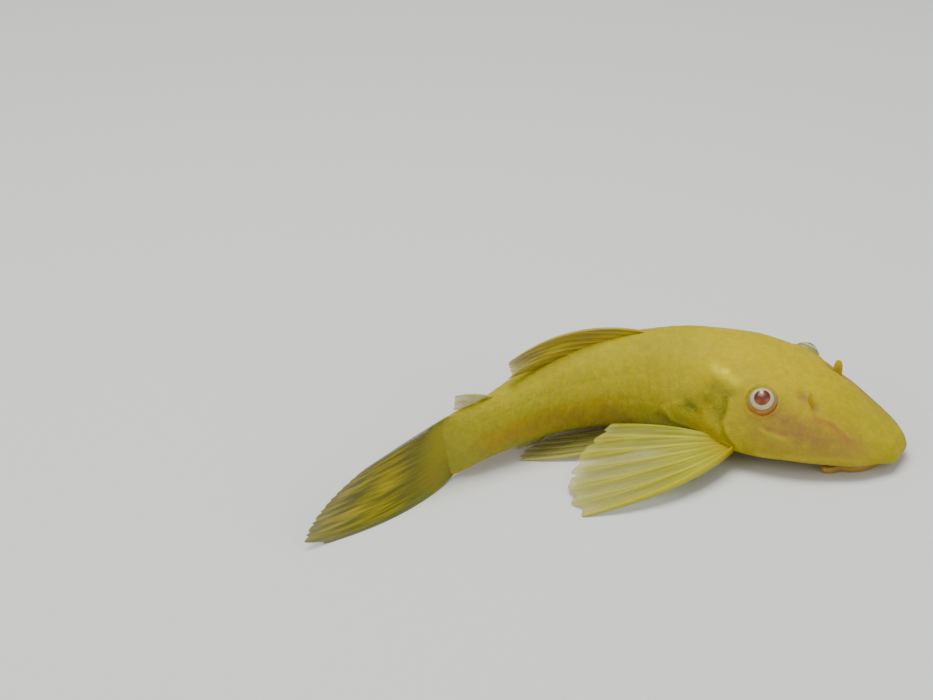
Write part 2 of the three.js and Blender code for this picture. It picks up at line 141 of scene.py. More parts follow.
@dataclass
class Pose:
    """The line that the body bends along, with its frame at each share of the length."""

    heading: float = -27.5
    swing: float = 70.0
    swing_from: float = 23.0
    swing_to: float = 86.0
    tail_swing: float = 3.0
    tail_swing_from: float = 95.0
    tail_swing_to: float = 135.0
    rise: float = 1.8
    drop: float = 5.2
    drop_from: float = 30.0
    drop_to: float = 90.0
    levelling: float = 2.3
    level_at: float = 125.0
    end: float = 140.0
    steps: int = 280
    shares: Array = field(init=False)
    path: Array = field(init=False)

    def __post_init__(self) -> None:
        """Adds up short steps along the backward direction, from the snout to the line's end."""
        self.shares = np.linspace(0.0, self.end, self.steps + 1)
        middles = (self.shares[1:] + self.shares[:-1]) / 2
        backward, _, _ = self.frame(middles)
        steps = backward * percent(np.diff(self.shares))[:, None]
        start = np.array([[0.0, 0.0, percent(PATH_LEVEL)]])
        self.path = np.concatenate([start, start + np.cumsum(steps, axis=0)])

    def frame(self, share: Array | float) -> tuple[Array, Array, Array]:
        """The backward, left and upward directions.

        The line turns sideways by smooth steps of its swings, and falls by smooth steps of its drop.

        Args:
            share: places along the line, in percent of the standard length.

        Returns:
            Three arrays of unit vectors.
        """
        share = np.asarray(share, float)
        turn = self.swing * smooth(share, self.swing_from, self.swing_to)
        tail = self.tail_swing * smooth(share, self.tail_swing_from, self.tail_swing_to)
        yaw = np.radians(self.heading + turn + tail)
        drop = self.drop * smooth(share, self.drop_from, self.drop_to)
        levelling = self.levelling * smooth(share, self.drop_to, self.level_at)
        fall = np.radians(drop - levelling - self.rise)
        flat = np.cos(fall)
        backward = np.stack([-np.cos(yaw) * flat, -np.sin(yaw) * flat, -np.sin(fall)], axis=-1)
        left = np.stack([-np.sin(yaw), np.cos(yaw), 0 * yaw], axis=-1)
        return backward, left, np.cross(left, backward)

    def at(self, share: Array | float) -> Array:
        """Points of the line, straight between its steps."""
        columns = [np.interp(share, self.shares, self.path[:, i]) for i in range(3)]
        return np.stack(columns, axis=-1)

    def bend(self, points: Array) -> Array:
        """Carries points of the straight fish to the bent one.

        A point keeps its distances left of and above the line, in the frame at its share.

        Args:
            points: backward, left and up, in millimetres.

        Returns:
            The bent points, in the same shape.
        """
        share = points[..., 0] / STANDARD_LENGTH * 100
        _, left, up = self.frame(share)
        level = points[..., 2:3] - percent(PATH_LEVEL)
        return self.at(share) + left * points[..., 1:2] + up * level

    def floor_under(self, share: Array | float) -> Array:
        """The height in the straight fish that comes down to the floor."""
        _, _, up = self.frame(share)
        return percent(PATH_LEVEL) - self.at(share)[..., 2] / up[..., 2]


# Distance from the snout, half width, top, bottom, level of the widest point, squareness of the
# back and of the belly
STATIONS = (
    (0, 0, 1.8, 1.8, 1.8, 2, 2),
    (0.3, 3.5, 3.9, 1.1, 1.7, 2.2, 2.8),
    (1, 5.7, 5.1, 1.2, 1.8, 2.2, 3.0),
    (2.5, 7.9, 6.0, 1.7, 2.3, 2.1, 2.8),
    (4, 9.5, 6.8, 1.9, 2.7, 2.0, 2.8),
    (9, 12.7, 9.6, 2.0, 3.5, 1.9, 2.8),
    (16, 15.5, 13.9, 1.9, 4.0, 1.87, 2.9),
    (25, 17.0, 17.5, 0.9, 4.6, 1.85, 3.0),
    (33, 16.1, 19.3, 0.4, 5.4, 1.8, 3.0),
    (42, 13.1, 19.4, 0.2, 6.2, 1.75, 2.9),
    (52, 11.0, 18.4, 0.3, 6.8, 1.75, 2.8),
    (64, 8.6, 16.8, 0.6, 7.4, 1.8, 2.6),
    (78, 5.7, 14.9, 1.3, 7.8, 1.9, 2.4),
    (90, 3.7, 13.4, 1.5, 7.4, 2.0, 2.2),
    (100, 2.5, 13.9, 0.6, 7.2, 2.0, 2.0),
)


class Side(Enum):
    """A flank of the fish, with the sign of its left direction."""

    LEFT = 1
    RIGHT = -1

    def turn(self, degrees: Array | float) -> Array | float:
        """A turn up this flank as a turn round the whole body."""
        return degrees if self is Side.LEFT else 180 - degrees


@dataclass
class BodyShape:
    """The body as rings: each is two half super-ellipses, one over its widest level, one under."""

    pose: Pose
    columns: list[Curve] = field(init=False)

    def __post_init__(self) -> None:
        """Lays a curve through each column, over the root of the share, which rounds the snout."""
        table = np.array(STATIONS, float)
        self.columns = [Curve(np.sqrt(table[:, 0]), table[:, k]) for k in range(1, 7)]

    def value(self, column: int, share: Array | float) -> Array:
        """One measure of the body at a share: half width, top, bottom, level, back, belly."""
        return self.columns[column](np.sqrt(np.maximum(share, 0.0)))

    def top(self, share: Array | float) -> Array:
        """The height of the back."""
        return self.value(1, share)

    def bottom(self, share: Array | float) -> Array:
        """The height of the belly."""
        return self.value(2, share)

    def straight(self, share: Array, degrees: Array) -> Array:
        """Points of the straight body.

        Across is half width x sign(cos a) |cos a|^(2/n), and up is height x sign(sin a)
        |sin a|^(2/n) from the widest level, where n tells how square that half of the ring is.

        Args:
            share: distance from the snout.
            degrees: turn round the body.

        Returns:
            Points in millimetres: backward, left, up.
        """
        angle = np.radians(degrees)
        cos, sin = np.cos(angle), np.sin(angle)
        power = 2 / np.where(sin > 0, self.value(4, share), self.value(5, share))
        level = self.value(3, share)
        height = np.where(sin > 0, self.top(share) - level, level - self.bottom(share))
        across = self.value(0, share) * np.sign(cos) * np.abs(cos) ** power
        rise = level + height * np.sign(sin) * np.abs(sin) ** power
        return np.stack([percent(share + 0 * across), percent(across), percent(rise)], axis=-1)

    def point(self, share: Array | float, degrees: Array | float) -> Array:
        """Points of the bent body."""
        share, degrees = np.broadcast_arrays(np.asarray(share, float), np.asarray(degrees, float))
        return self.pose.bend(self.straight(share, degrees))

    def stand(self, share: float, degrees: float) -> tuple[Array, Array, Array, Array]:
        """A place on the skin with its own directions.

        Args:
            share: distance from the snout.
            degrees: turn round the body.

        Returns:
            The point, and unit vectors backward, round the body, and outward.
        """
        backward = unit(self.point(share + 0.5, degrees) - self.point(share - 0.5, degrees))
        around = unit(self.point(share, degrees + 2) - self.point(share, degrees - 2))
        return self.point(share, degrees), backward, around, unit(np.cross(backward, around))

    def near(self, points: Array, line: Line, width: float) -> Array:
        """How close points are to a line drawn on both flanks.

        It is exp(-(d / width)^2) for the distance d to the nearest straight piece of the line.

        Args:
            points: places on the skin, in millimetres.
            line: its corners as shares and turns. One corner makes a dot.
            width: the distance at which the mark has mostly faded.

        Returns:
            Values from 0 to 1, one per point.
        """
        distance = np.full(points.shape[:-1], np.inf)
        for side in Side:
            marks = np.array([self.point(share, side.turn(turn)) for share, turn in line])
            ends = marks[1:] if len(marks) > 1 else marks
            for start, end in zip(marks, ends):
                arm = end - start
                t = np.clip((points - start) @ arm / max(arm @ arm, 1e-9), 0, 1)
                gap = points - start - t[..., None] * arm
                distance = np.minimum(distance, np.linalg.norm(gap, axis=-1))
        return np.exp(-((distance / width) ** 2))


POSE = Pose()
BODY = BodyShape(POSE)


@dataclass(frozen=True)
class EyePlace:
    """Where the eyes sit, as in the solids."""

    share: float = 24.6
    turn: float = 41.0
    radius: float = 1.62
    sink: float = 0.5

    def stand(self, side: Side) -> tuple[Array, Array, Array, Array]:
        """The eye's place on the skin of one side, with its directions."""
        return BODY.stand(self.share, side.turn(self.turn))

    def centre(self, side: Side) -> Array:
        """The middle of the eyeball, its sink below the skin."""
        point, _, _, out = self.stand(side)
        return point - out * self.sink


EYES = EyePlace()
LOW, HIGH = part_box("eye_right")
SHIFT = np.array((LOW + HIGH) / 2) * 1000 - EYES.centre(Side.RIGHT)


def make_piece(
    name: str, points: Array, faces: Array, masks: dict[str, Array] | None = None
) -> bpy.types.Object:
    """Makes a mesh object at the origin from points in millimetres.

    Args:
        name: the piece's name.
        points: one row per vertex, in the fish's own frame.
        faces: rows of 4 indices. A row whose last index repeats is a triangle.
        masks: values per vertex, by attribute name.

    Returns:
        The object, smooth shaded and riding on the root body.
    """
    mesh = bpy.data.meshes.new(name)
    placed = (np.asarray(points, float) + SHIFT) / 1000
    mesh.vertices.add(len(placed))
    mesh.vertices.foreach_set("co", placed.astype(np.float32).ravel())
    triangle = faces[:, 2] == faces[:, 3]
    sizes = np.where(triangle, 3, 4)
    keep = np.ones_like(faces, bool)
    keep[:, 3] = ~triangle
    starts = np.concatenate([[0], np.cumsum(sizes)[:-1]])
    mesh.loops.add(int(sizes.sum()))
    mesh.loops.foreach_set("vertex_index", faces[keep].astype(np.int32))
    mesh.polygons.add(len(faces))
    mesh.polygons.foreach_set("loop_start", starts.astype(np.int32))
    mesh.polygons.foreach_set("use_smooth", np.ones(len(faces), bool))
    mesh.update(calc_edges=True)
    mesh.validate()
    for key, values in (masks or {}).items():
        layer = mesh.attributes.new(key, "FLOAT", "POINT")
        layer.data.foreach_set("value", np.asarray(values, np.float32).ravel())
    piece = bpy.data.objects.new(name, mesh)
    bpy.context.collection.objects.link(piece)
    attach(piece, "root")
    log.info("%s: %d faces", name, len(faces))
    return piece


def grid_faces(rows: int, columns: int, wrap: bool = False, start: int = 0) -> Array:
    """The quads of a grid of points stored row by row.

    Args:
        rows: number of rows.
        columns: points in a row.
        wrap: whether the last point of a row joins its first.
        start: index of the grid's first point.

    Returns:
        Rows of 4 indices.
    """
    last = columns if wrap else columns - 1
    i, j = np.meshgrid(np.arange(rows - 1), np.arange(last), indexing="ij")
    k = (j + 1) % columns
    quads = [i * columns + j, i * columns + k, (i + 1) * columns + k, (i + 1) * columns + j]
    return np.stack(quads, axis=-1).reshape(-1, 4) + start


def fan_faces(centre: int, ring: Array, forward: bool) -> Array:
    """Triangles from a centre point to a closed ring of points, run forward or backward."""
    after = np.roll(ring, -1)
    first, second = (ring, after) if forward else (after, ring)
    return np.stack([np.full_like(ring, centre), first, second, second], axis=-1)


def ring_faces(rings: int, around: int, turned: bool = True) -> Array:
    """The faces of a closed body of rings with a pole at each end.

    Its points are the rings one after the other, then the pole of the first and that of the last.

    Args:
        rings: number of rings.
        around: points in a ring.
        turned: whether the faces run backward, which is outward where the rings run that way.

    Returns:
        Rows of 4 indices.
    """
    quads = grid_faces(rings, around, wrap=True)
    ring, count = np.arange(around), rings * around
    return np.concatenate(
        [
            quads[:, ::-1] if turned else quads,
            fan_faces(count, ring, turned),
            fan_faces(count + 1, ring + count - around, not turned),
        ]
    )


def closed_sheet(middle: Array, half: Array) -> tuple[Array, Array]:
    """A closed thin body round a grid of points: each point moved both ways along its normal.

    Args:
        middle: grid of points, two parameters by three coordinates.
        half: half thickness at each point.

    Returns:
        The points and the faces, facing outwards.
    """
    normal = unit(np.cross(np.gradient(middle, axis=0), np.gradient(middle, axis=1)))
    upper, lower = middle + normal * half[..., None], middle - normal * half[..., None]
    rows, columns = half.shape
    count = rows * columns
    index = np.arange(count).reshape(rows, columns)
    edge = np.concatenate([index[:-1, 0], index[-1, :-1], index[:0:-1, -1], index[0, :0:-1]])
    after = np.roll(edge, -1)
    faces = np.concatenate(
        [
            grid_faces(rows, columns)[:, ::-1],
            grid_faces(rows, columns, start=count),
            np.stack([edge + count, after + count, after, edge], axis=-1),
        ]
    )
    return np.concatenate([upper.reshape(-1, 3), lower.reshape(-1, 3)]), faces


# Finishes


@dataclass(frozen=True)
class SkinFinish:
    """The colours of the skin and how wet and how translucent it is."""

    back: Colour = srgb(178, 163, 0)
    flank: Colour = srgb(174, 163, 22)
    lower: Colour = srgb(138, 142, 58)
    orange: Colour = srgb(158, 112, 28)
    tail: Colour = srgb(166, 160, 26)
    snout: Colour = srgb(164, 156, 0)
    crown: Colour = srgb(194, 174, 0)
    underside: Colour = srgb(176, 104, 20)
    belly: Colour = srgb(200, 160, 60)
    blush: Colour = srgb(130, 92, 58)
    nostril: Colour = srgb(156, 112, 72)
    streak: Colour = srgb(148, 86, 52)
    # gill: the darker olive gill patch, also used as painted shade in the grooves under the lobe rim
    # and behind the gill cover
    gill_patch_and_groove_shade: Colour = srgb(88, 94, 34)
    # pale: a random pale tone in the mottling, and painted highlights along raised rims, folds and
    # the nostril flaps' tips
    pale: Colour = srgb(208, 190, 34)
    shade: Colour = srgb(150, 118, 4)
    # painted highlight: the bright yellow spot where light catches the upper flank behind the head
    spot: Colour = srgb(250, 240, 40)
    roughness: float = 0.58
    shine: float = 0.06
    coat: float = 0.02
    subsurface: float = 0.2


@dataclass(frozen=True)
class FinFinish:
    """The colours of a fin, how clear its membrane is, and how streaked."""

    spine: Colour = srgb(186, 172, 30)
    ray: Colour = srgb(200, 188, 62)
    membrane: Colour = srgb(176, 162, 20)
    bright: Colour = srgb(214, 192, 10)
    dark: Colour = srgb(112, 96, 4)
    base: Colour = srgb(172, 150, 4)
    base_below: Colour = srgb(172, 146, 4)
    edge: Colour = srgb(198, 194, 96)
    membrane_alpha: float = 0.3
    ray_alpha: float = 0.86
    streaks: float = 0.15
    tip_fade: float = 0.3
    solid_root: float = 0.3
    roughness: float = 0.4


@dataclass(frozen=True)
class EyeFinish:
    """The rings of colour of an eye."""

    pupil: Colour = srgb(92, 34, 16)
    # painted glow: the lighter red of the pupil's lower part, painted light from within the eye
    painted_glow: Colour = srgb(128, 62, 34)
    iris: Colour = srgb(192, 186, 138)
    vein: Colour = srgb(176, 152, 108)
    # line: a thin dark line round the iris, painted shade at the eye's edge, darker on the side
    # turned from the light
    line: Colour = srgb(98, 92, 66)
    # rim: the grey upper part of the outer ring, painted shade at the eye's edge
    rim: Colour = srgb(146, 138, 84)
    warm: Colour = srgb(172, 112, 40)


@dataclass(frozen=True)
class LipFinish:
    """The soft skin of the sucker mouth."""

    base: Colour = srgb(188, 152, 44)
    # dark: the darker tone of the random patches, also painted shade between the bumps and in the
    # opening
    dark: Colour = srgb(144, 106, 30)
    tooth: Colour = srgb(190, 140, 44)


def put(tree: bpy.types.NodeTree, socket: Socket, value: object) -> None:
    """Links a socket to an output, or sets its value."""
    if isinstance(value, bpy.types.NodeSocket):
        tree.links.new(value, socket)
    elif isinstance(value, tuple) and len(value) == 3 and socket.type == "RGBA":
        socket.default_value = (*value, 1.0)
    else:
        socket.default_value = value


@dataclass
class Graph:
    """A node tree under construction, with short calls for the nodes that it uses."""

    tree: bpy.types.NodeTree

    def node(self, kind: str, inputs: dict | None = None, **settings: object) -> bpy.types.Node:
        """Adds a node.

        Args:
            kind: the node's type, without its common first word.
            inputs: socket name or number to a value or to another node's output.
            **settings: the node's own options.

        Returns:
            The node.
        """
        made = self.tree.nodes.new("ShaderNode" + kind)
        for key, value in settings.items():
            setattr(made, key, value)
        for key, value in (inputs or {}).items():
            put(self.tree, made.inputs[key], value)
        return made

    def math(self, operation: str, first: object, second: object = 0.5) -> Socket:
        """One sum on two values."""
        return self.node("Math", {0: first, 1: second}, operation=operation).outputs[0]

    def times(self, *values: object) -> Socket:
        """The product of two or more values."""
        whole = values[0]
        for value in values[1:]:
            whole = self.math("MULTIPLY", whole, value)
        return whole

    def flipped(self, value: object) -> Socket:
        """One minus a value."""
        return self.math("SUBTRACT", 1.0, value)

    def added(self, first: object, second: object) -> Socket:
        """The sum of two values, kept between 0 and 1."""
        return self.node("Math", {0: first, 1: second}, operation="ADD", use_clamp=True).outputs[0]

    def step(self, value: object, low: float, high: float) -> Socket:
        """The smooth step of a value from low to high."""
        inputs = {"Value": value, "From Min": low, "From Max": high}
        made = self.node("MapRange", inputs, interpolation_type="SMOOTHSTEP")
        return made.outputs["Result"]

    def ranged(self, value: object, low: float, high: float) -> Socket:
        """A value from 0 to 1 stretched to run from low to high."""
        inputs = {"Value": value, "To Min": low, "To Max": high}
        return self.node("MapRange", inputs).outputs["Result"]

    def noise(self, place: Socket, scale: object, detail: float = 2.0) -> Socket:
        """A smooth noise."""
        inputs = {"Vector": place, "Scale": scale, "Detail": detail}
        return self.node("TexNoise", inputs).outputs["Fac"]

    def blend(self, share: object, first: object, second: object) -> Socket:
        """A mix of two colours: first at share 0, second at share 1."""
        made = self.node("Mix", data_type="RGBA")
        colours = [socket for socket in made.inputs if socket.type == "RGBA"]
        put(self.tree, made.inputs[0], share)
        put(self.tree, colours[0], first)
        put(self.tree, colours[1], second)
        return next(socket for socket in made.outputs if socket.type == "RGBA")


class Material(Graph):
    """A material under construction, with its Principled BSDF."""

    def __init__(self, name: str) -> None:
        """Starts a material with an empty Principled BSDF and its output."""
        self.data = bpy.data.materials.new(name)
        self.data.use_nodes = True
        super().__init__(self.data.node_tree)
        self.tree.nodes.clear()
        self.surface = self.node("BsdfPrincipled")
        output = self.node("OutputMaterial")
        self.tree.links.new(self.surface.outputs["BSDF"], output.inputs["Surface"])
        self.place = self.node("TexCoord").outputs["Object"]

    def attribute(self, name: str) -> Socket:
        """The value of a vertex attribute."""
        return self.node("Attribute", attribute_name=name).outputs["Fac"]

    def effect(self, group: bpy.types.NodeTree, **inputs: object) -> Socket:
        """The first output of a shared node group."""
        return self.node("Group", dict(inputs), node_tree=group).outputs[0]

    def mottle(self, scale: float, sharpness: float) -> Socket:
        """The mask of soft patches at the material's own scale."""
        return self.effect(MOTTLING, Place=self.place, Scale=scale, Sharpness=sharpness)

    def bumped(self, height: Socket, strength: float, distance: float) -> Socket:
        """A normal with fine relief."""
        inputs = {"Height": height, "Strength": strength, "Distance": distance}
        return self.node("Bump", inputs).outputs["Normal"]

    def feed(self, **sockets: object) -> None:
        """Sets or links the surface's sockets, whose names are written with underscores."""
        for key, value in sockets.items():
            put(self.tree, self.surface.inputs[key.replace("_", " ")], value)


class Effects:
    """Node groups that more than one material uses."""

    @staticmethod
    def start(name: str, numbers: dict[str, float]) -> tuple[Graph, dict, Callable]:
        """Makes a group that takes a place and numbers, and puts out one value.

        Args:
            name: the group's name.
            numbers: the names of its number inputs, with their usual values.

        Returns:
            The group as a graph, its inputs by name, and a call that links its result.
        """
        group = bpy.data.node_groups.new(name, "ShaderNodeTree")
        group.interface.new_socket("Place", in_out="INPUT", socket_type="NodeSocketVector")
        for key, value in numbers.items():
            socket = group.interface.new_socket(key, in_out="INPUT", socket_type="NodeSocketFloat")
            socket.default_value = value
        group.interface.new_socket("Value", in_out="OUTPUT", socket_type="NodeSocketFloat")
        entry, leave = group.nodes.new("NodeGroupInput"), group.nodes.new("NodeGroupOutput")
        inputs = {socket.name: socket for socket in entry.outputs if socket.name}
        return Graph(group), inputs, lambda value: group.links.new(value, leave.inputs["Value"])

    @classmethod
    def mottling(cls) -> bpy.types.NodeTree:
        """Soft cloudy patches: two noises of different size, added and stretched to 0 to 1."""
        graph, given, finish = cls.start("soft_mottling", {"Scale": 900.0, "Sharpness": 2.0})
        wide = graph.noise(given["Place"], given["Scale"], 3.0)
        small = graph.noise(given["Place"], graph.times(given["Scale"], 3.7))
        whole = graph.math("ADD", wide, graph.times(small, 0.4))
        centred = graph.math("SUBTRACT", whole, 0.7)
        finish(graph.added(graph.times(centred, given["Sharpness"]), 0.5))
        return graph.tree

    @classmethod
    def prickles(cls) -> bpy.types.NodeTree:
        """Tiny raised points: 1 minus the distance to scattered centres, sharpened."""
        graph, given, finish = cls.start("skin_prickles", {"Scale": 4200.0})
        inputs = {"Vector": given["Place"], "Scale": given["Scale"], "Randomness": 0.8}
        turned = graph.flipped(graph.node("TexVoronoi", inputs).outputs["Distance"])
        peaked = graph.node("Math", {0: turned, 1: 2.5}, operation="POWER", use_clamp=True)
        finish(peaked.outputs[0])
        return graph.tree

    @classmethod
    def streaks(cls) -> bpy.types.NodeTree:
        """Long soft streaks: noise over a place that is drawn out in one direction."""
        graph, given, finish = cls.start("long_streaks", {"Across": 60.0, "Along": 4.0})
        parts = graph.node("SeparateXYZ", {0: given["Place"]}).outputs
        across = graph.times(parts["X"], given["Across"])
        along = graph.times(parts["Y"], given["Along"])
        drawn = graph.node("CombineXYZ", {"X": across, "Y": along}).outputs["Vector"]
        centred = graph.math("SUBTRACT", graph.noise(drawn, 1.0, 3.0), 0.5)
        finish(graph.added(graph.times(centred, 2.6), 0.5))
        return graph.tree


MOTTLING = Effects.mottling()
PRICKLES = Effects.prickles()
STREAKS = Effects.streaks()


# The body


@dataclass(frozen=True)
class Mark:
    """A line or dot drawn on both flanks, with its width in millimetres and its strength."""

    line: Line
    width: float
    strength: float = 1.0


@dataclass(frozen=True)
class HeadMarks:
    """Where the head's and shoulder's markings and small forms run."""

    # The spot marks are a painted highlight: a bright dot and line on the upper flank behind the head
    spot: tuple[Mark, ...] = (
        Mark(((34.4, 49),), 0.5),
        Mark(((36.9, 50), (34.0, 47), (31.0, 45)), 0.6, 0.45),
    )
    patch: tuple[Mark, ...] = (
        Mark(((39.5, 12), (42.4, 14)), 0.75, 0.9),
        Mark(((33.7, 22),), 1.0, 0.9),
        Mark(((36.3, 36), (31.9, 35)), 1.2, 0.7),
        Mark(((36.0, 26), (39.0, 22)), 1.3, 0.7),
    )
    lobe: tuple[Mark, ...] = (Mark(((29.5, 0), (36, 2), (43, 2)), 1.2),)
    lobe_rim: tuple[Mark, ...] = (
        Mark(((28.3, -9), (33, -7.5), (37.8, -7), (42.5, -9), (46.5, -8), (48.9, 2)), 0.24),
        Mark(((48.9, 2), (47.8, 9), (44.4, 14)), 0.3, 0.5),
    )
    lobe_shade: tuple[Mark, ...] = (
        Mark(((30, -17), (35, -15), (40, -16), (46, -17), (50.5, -6)), 0.55),
    )
    cover: tuple[Mark, ...] = (Mark(((27, -6), (29.8, 3), (31.3, 12), (30.6, 22), (31, 30)), 0.35),)
    cover_shade: tuple[Mark, ...] = (
        Mark(((28.2, -6), (31.1, 3), (32.7, 12), (32.0, 22), (32.6, 30)), 0.3),
    )
    blush: tuple[Mark, ...] = (
        Mark(((21.0, 32), (16.4, 30), (11.8, 29)), 1.9, 0.95),
        Mark(((22.0, 26), (16, 24), (8.0, 31)), 3.0, 0.7),
    )
    streak: tuple[Mark, ...] = (
        Mark(((14.6, 47), (11.3, 50), (8.4, 43), (6.7, 36)), 0.5, 0.85),
        Mark(((22.6, 22.5), (20.6, 21.5), (18.7, 22.5)), 0.22, 0.6),
    )
    fold: tuple[Mark, ...] = (
        Mark(((23.2, 19.5), (21.6, 18), (18.6, 18)), 0.2, 0.9),
        Mark(((14.4, 51), (11.0, 54.5), (8.0, 47)), 0.2, 0.5),
    )
    rim: tuple[Mark, ...] = (Mark(((23, -10), (15.1, 2), (8.4, 8), (4.0, 10)), 0.3, 0.6),)
    nostril: tuple[Mark, ...] = (Mark(((18.0, 59),), 0.66), Mark(((15.2, 56),), 0.6, 0.8),)


def drawn(points: Array, marks: tuple[Mark, ...]) -> Array:
    """The strongest of some marks at each point."""
    layers = [mark.strength * BODY.near(points, mark.line, mark.width) for mark in marks]
    return np.maximum.reduce(layers)


@dataclass(frozen=True)
class Swell:
    """A wide swelling of the head, or a hollow where its height is below 0."""

    height: float
    share: float
    length: float
    turn: float
    breadth: float

    def at(self, share: Array, folded: Array) -> Array:
        """The height times a bell curve along the body and one round it."""
        along = self.height * hill(share, self.share, self.length)
        return along * hill(folded, self.turn, self.breadth)


CHEEK = Swell(0.22, 17.5, 5.0, 12, 18)
BETWEEN_EYES = Swell(-0.20, 24.0, 6.0, 90, 18)
NAPE = Swell(0.14, 39.0, 8.0, 90, 9)
SNOUT_SIDE = Swell(-0.10, 14.0, 4.0, 52, 11)


@dataclass(frozen=True)
class Orbit:
    """The skin round an eye, by its distance from the eye's axis in millimetres."""

    rim_height: float = 0.20
    rim_at: float = 1.72
    rim_width: float = 0.26
    pad_height: float = 0.10
    pad_at: float = 2.5
    pad_width: float = 1.0
    socket_from: float = 1.42
    socket_to: float = 1.6
    under_ball: float = 0.35
    crescent_at: float = 1.55
    crescent_width: float = 0.22
    reach: float = 5.0


@dataclass
class Skin:
    """The whole skin from the snout to the root of the tail fin, as one fine closed surface."""

    rings: int = 424
    head_rings: int = 180
    around: int = 232
    end: float = 101.6
    plates: int = 24
    plates_from: float = 37.0
    plate_relief: float = 0.045
    plate_chevron: float = 0.9
    rows: tuple[float, ...] = (-63.0, -27.0, 9.0, 36.0, 63.0, 117.0)
    grooves: tuple[tuple[float, float], ...] = ((36.0, 3.0), (9.0, 3.0), (63.0, 3.5))
    groove_depth: float = 0.02
    lip: float = 0.45
    lip_corner_pull: float = 0.12
    end_from: float = 93.0
    nostril_depth: float = 0.2
    finish: SkinFinish = field(default_factory=SkinFinish)
    marks: HeadMarks = field(default_factory=HeadMarks)
    orbit_shape: Orbit = field(default_factory=Orbit)

    def row_relief(self, folded: Array) -> Array:
        """How a row of plates swells across: the root of a half wave from edge to edge."""
        relief = np.zeros_like(folded)
        for low, high in zip(self.rows[:-1], self.rows[1:]):
            across = (folded - low) / (high - low)
            wave = np.sqrt(np.sin(np.pi * np.clip(across, 0, 1)))
            relief = np.where((across >= 0) & (across < 1), wave, relief)
        return relief

    def spread(self) -> tuple[Array, Array]:
        """The grid of shares and turns: rings close at the snout and even behind the head."""
        front = self.plates_from * np.linspace(0.01, 1, self.head_rings) ** 2.0
        rear = np.linspace(self.plates_from, self.end, self.rings - self.head_rings + 1)[1:]
        degrees = -90 + 360 * np.arange(self.around) / self.around
        return np.meshgrid(np.concatenate([front, rear]), degrees, indexing="ij")

    def base(self, share: Array, degrees: Array) -> Array:
        """The smooth body, with two changes by smooth steps.

        Low on the snout the rim draws up, its middle reaches forward and its corners draw in. The
        end narrows and runs out between the fin's rays.
        """
        points = BODY.straight(np.minimum(share, 100.0), degrees)
        middle = percent(BODY.value(3, 100.0))
        low = (1 - smooth(points[..., 2], 0.6, 2.5)) * (1 - smooth(share, 0.5, 7.5))
        aside = np.abs(points[..., 1])
        points[..., 0] = percent(share) - self.lip * low * hill(aside, 0, 3.0)
        points[..., 2] += self.lip * low * mix(0.7, 1.0, smooth(aside, 0.0, 3.4))
        points[..., 1] *= 1 - self.lip_corner_pull * low
        points[..., 1] *= 1 - 0.98 * smooth(share, self.end_from, self.end) ** 1.3
        points[..., 2] -= (points[..., 2] - middle) * 0.1 * smooth(share, 97.0, self.end)
        return POSE.bend(points)

    def armour(self, share: Array, folded: Array) -> tuple[Array, dict[str, Array]]:
        """The plates of the body: each rises evenly to its rear edge and drops to the next.

        Args:
            share: distance from the snout.
            folded: turn up the nearer flank.

        Returns:
            Heights in millimetres, and the plates' masks.
        """
        row = self.row_relief(folded)
        length = (100 - self.plates_from) / self.plates
        phase = ((share - self.plate_chevron * row - self.plates_from) / length) % 1.0
        covered = smooth(share, 37, 50) * (1 - smooth(share, 95, 99)) * smooth(folded, -75, -60)
        saw = smooth(phase, 0.0, 0.8) * (1 - smooth(phase, 0.8, 1.0))
        lines = sum(hill(folded, turn, width) for turn, width in self.grooves)
        height = self.plate_relief * covered * (0.25 + 0.75 * row) * saw
        height -= self.groove_depth * covered * lines
        seam = (0.5 + 0.5 * np.cos(2 * np.pi * (phase - 0.9))) ** 2 * covered * (0.4 + 0.6 * row)
        return height, {"seam": seam, "plate": covered}

    def head(self, points: Array, share: Array, folded: Array) -> tuple[Array, dict[str, Array]]:
        """The head's and shoulder's own forms: bell curves over places, and marks along lines.

        Args:
            points: the smooth body.
            share: distance from the snout.
            folded: turn up the nearer flank.

        Returns:
            Heights in millimetres, and the markings' masks.
        """
        marks = self.marks
        masks = {
            key: drawn(points, getattr(marks, key))
            for key in ("spot", "patch", "blush", "streak", "fold", "rim", "nostril")
        }
        lobe, rim = drawn(points, marks.lobe), drawn(points, marks.lobe_rim)
        shade, cover = drawn(points, marks.lobe_shade), drawn(points, marks.cover)
        behind = drawn(points, marks.cover_shade)
        height = 0.16 * lobe + 0.13 * rim - 0.16 * shade + 0.12 * cover - 0.16 * behind
        height += 0.05 * masks["fold"] - 0.05 * masks["streak"] - 0.12 * masks["patch"]
        # the painted highlight spot is also raised a little
        height += 0.06 * masks["spot"] + 0.05 * masks["rim"]
        for swell in (CHEEK, BETWEEN_EYES, NAPE, SNOUT_SIDE):
            height += swell.at(share, folded)
        # The pale mask is painted highlight: pale lines along the raised lobe rim, gill cover edge,
        # folds and snout rim, where light catches them
        masks["pale"] = np.clip(0.9 * rim + 0.5 * cover + masks.pop("fold") + masks.pop("rim"), 0, 1)
        # The patch mask also takes painted shade in the grooves under the lobe rim and behind the
        # gill cover
        masks["patch"] = np.clip(masks["patch"] + 0.5 * shade + 0.45 * behind, 0, 1)
        return height, masks

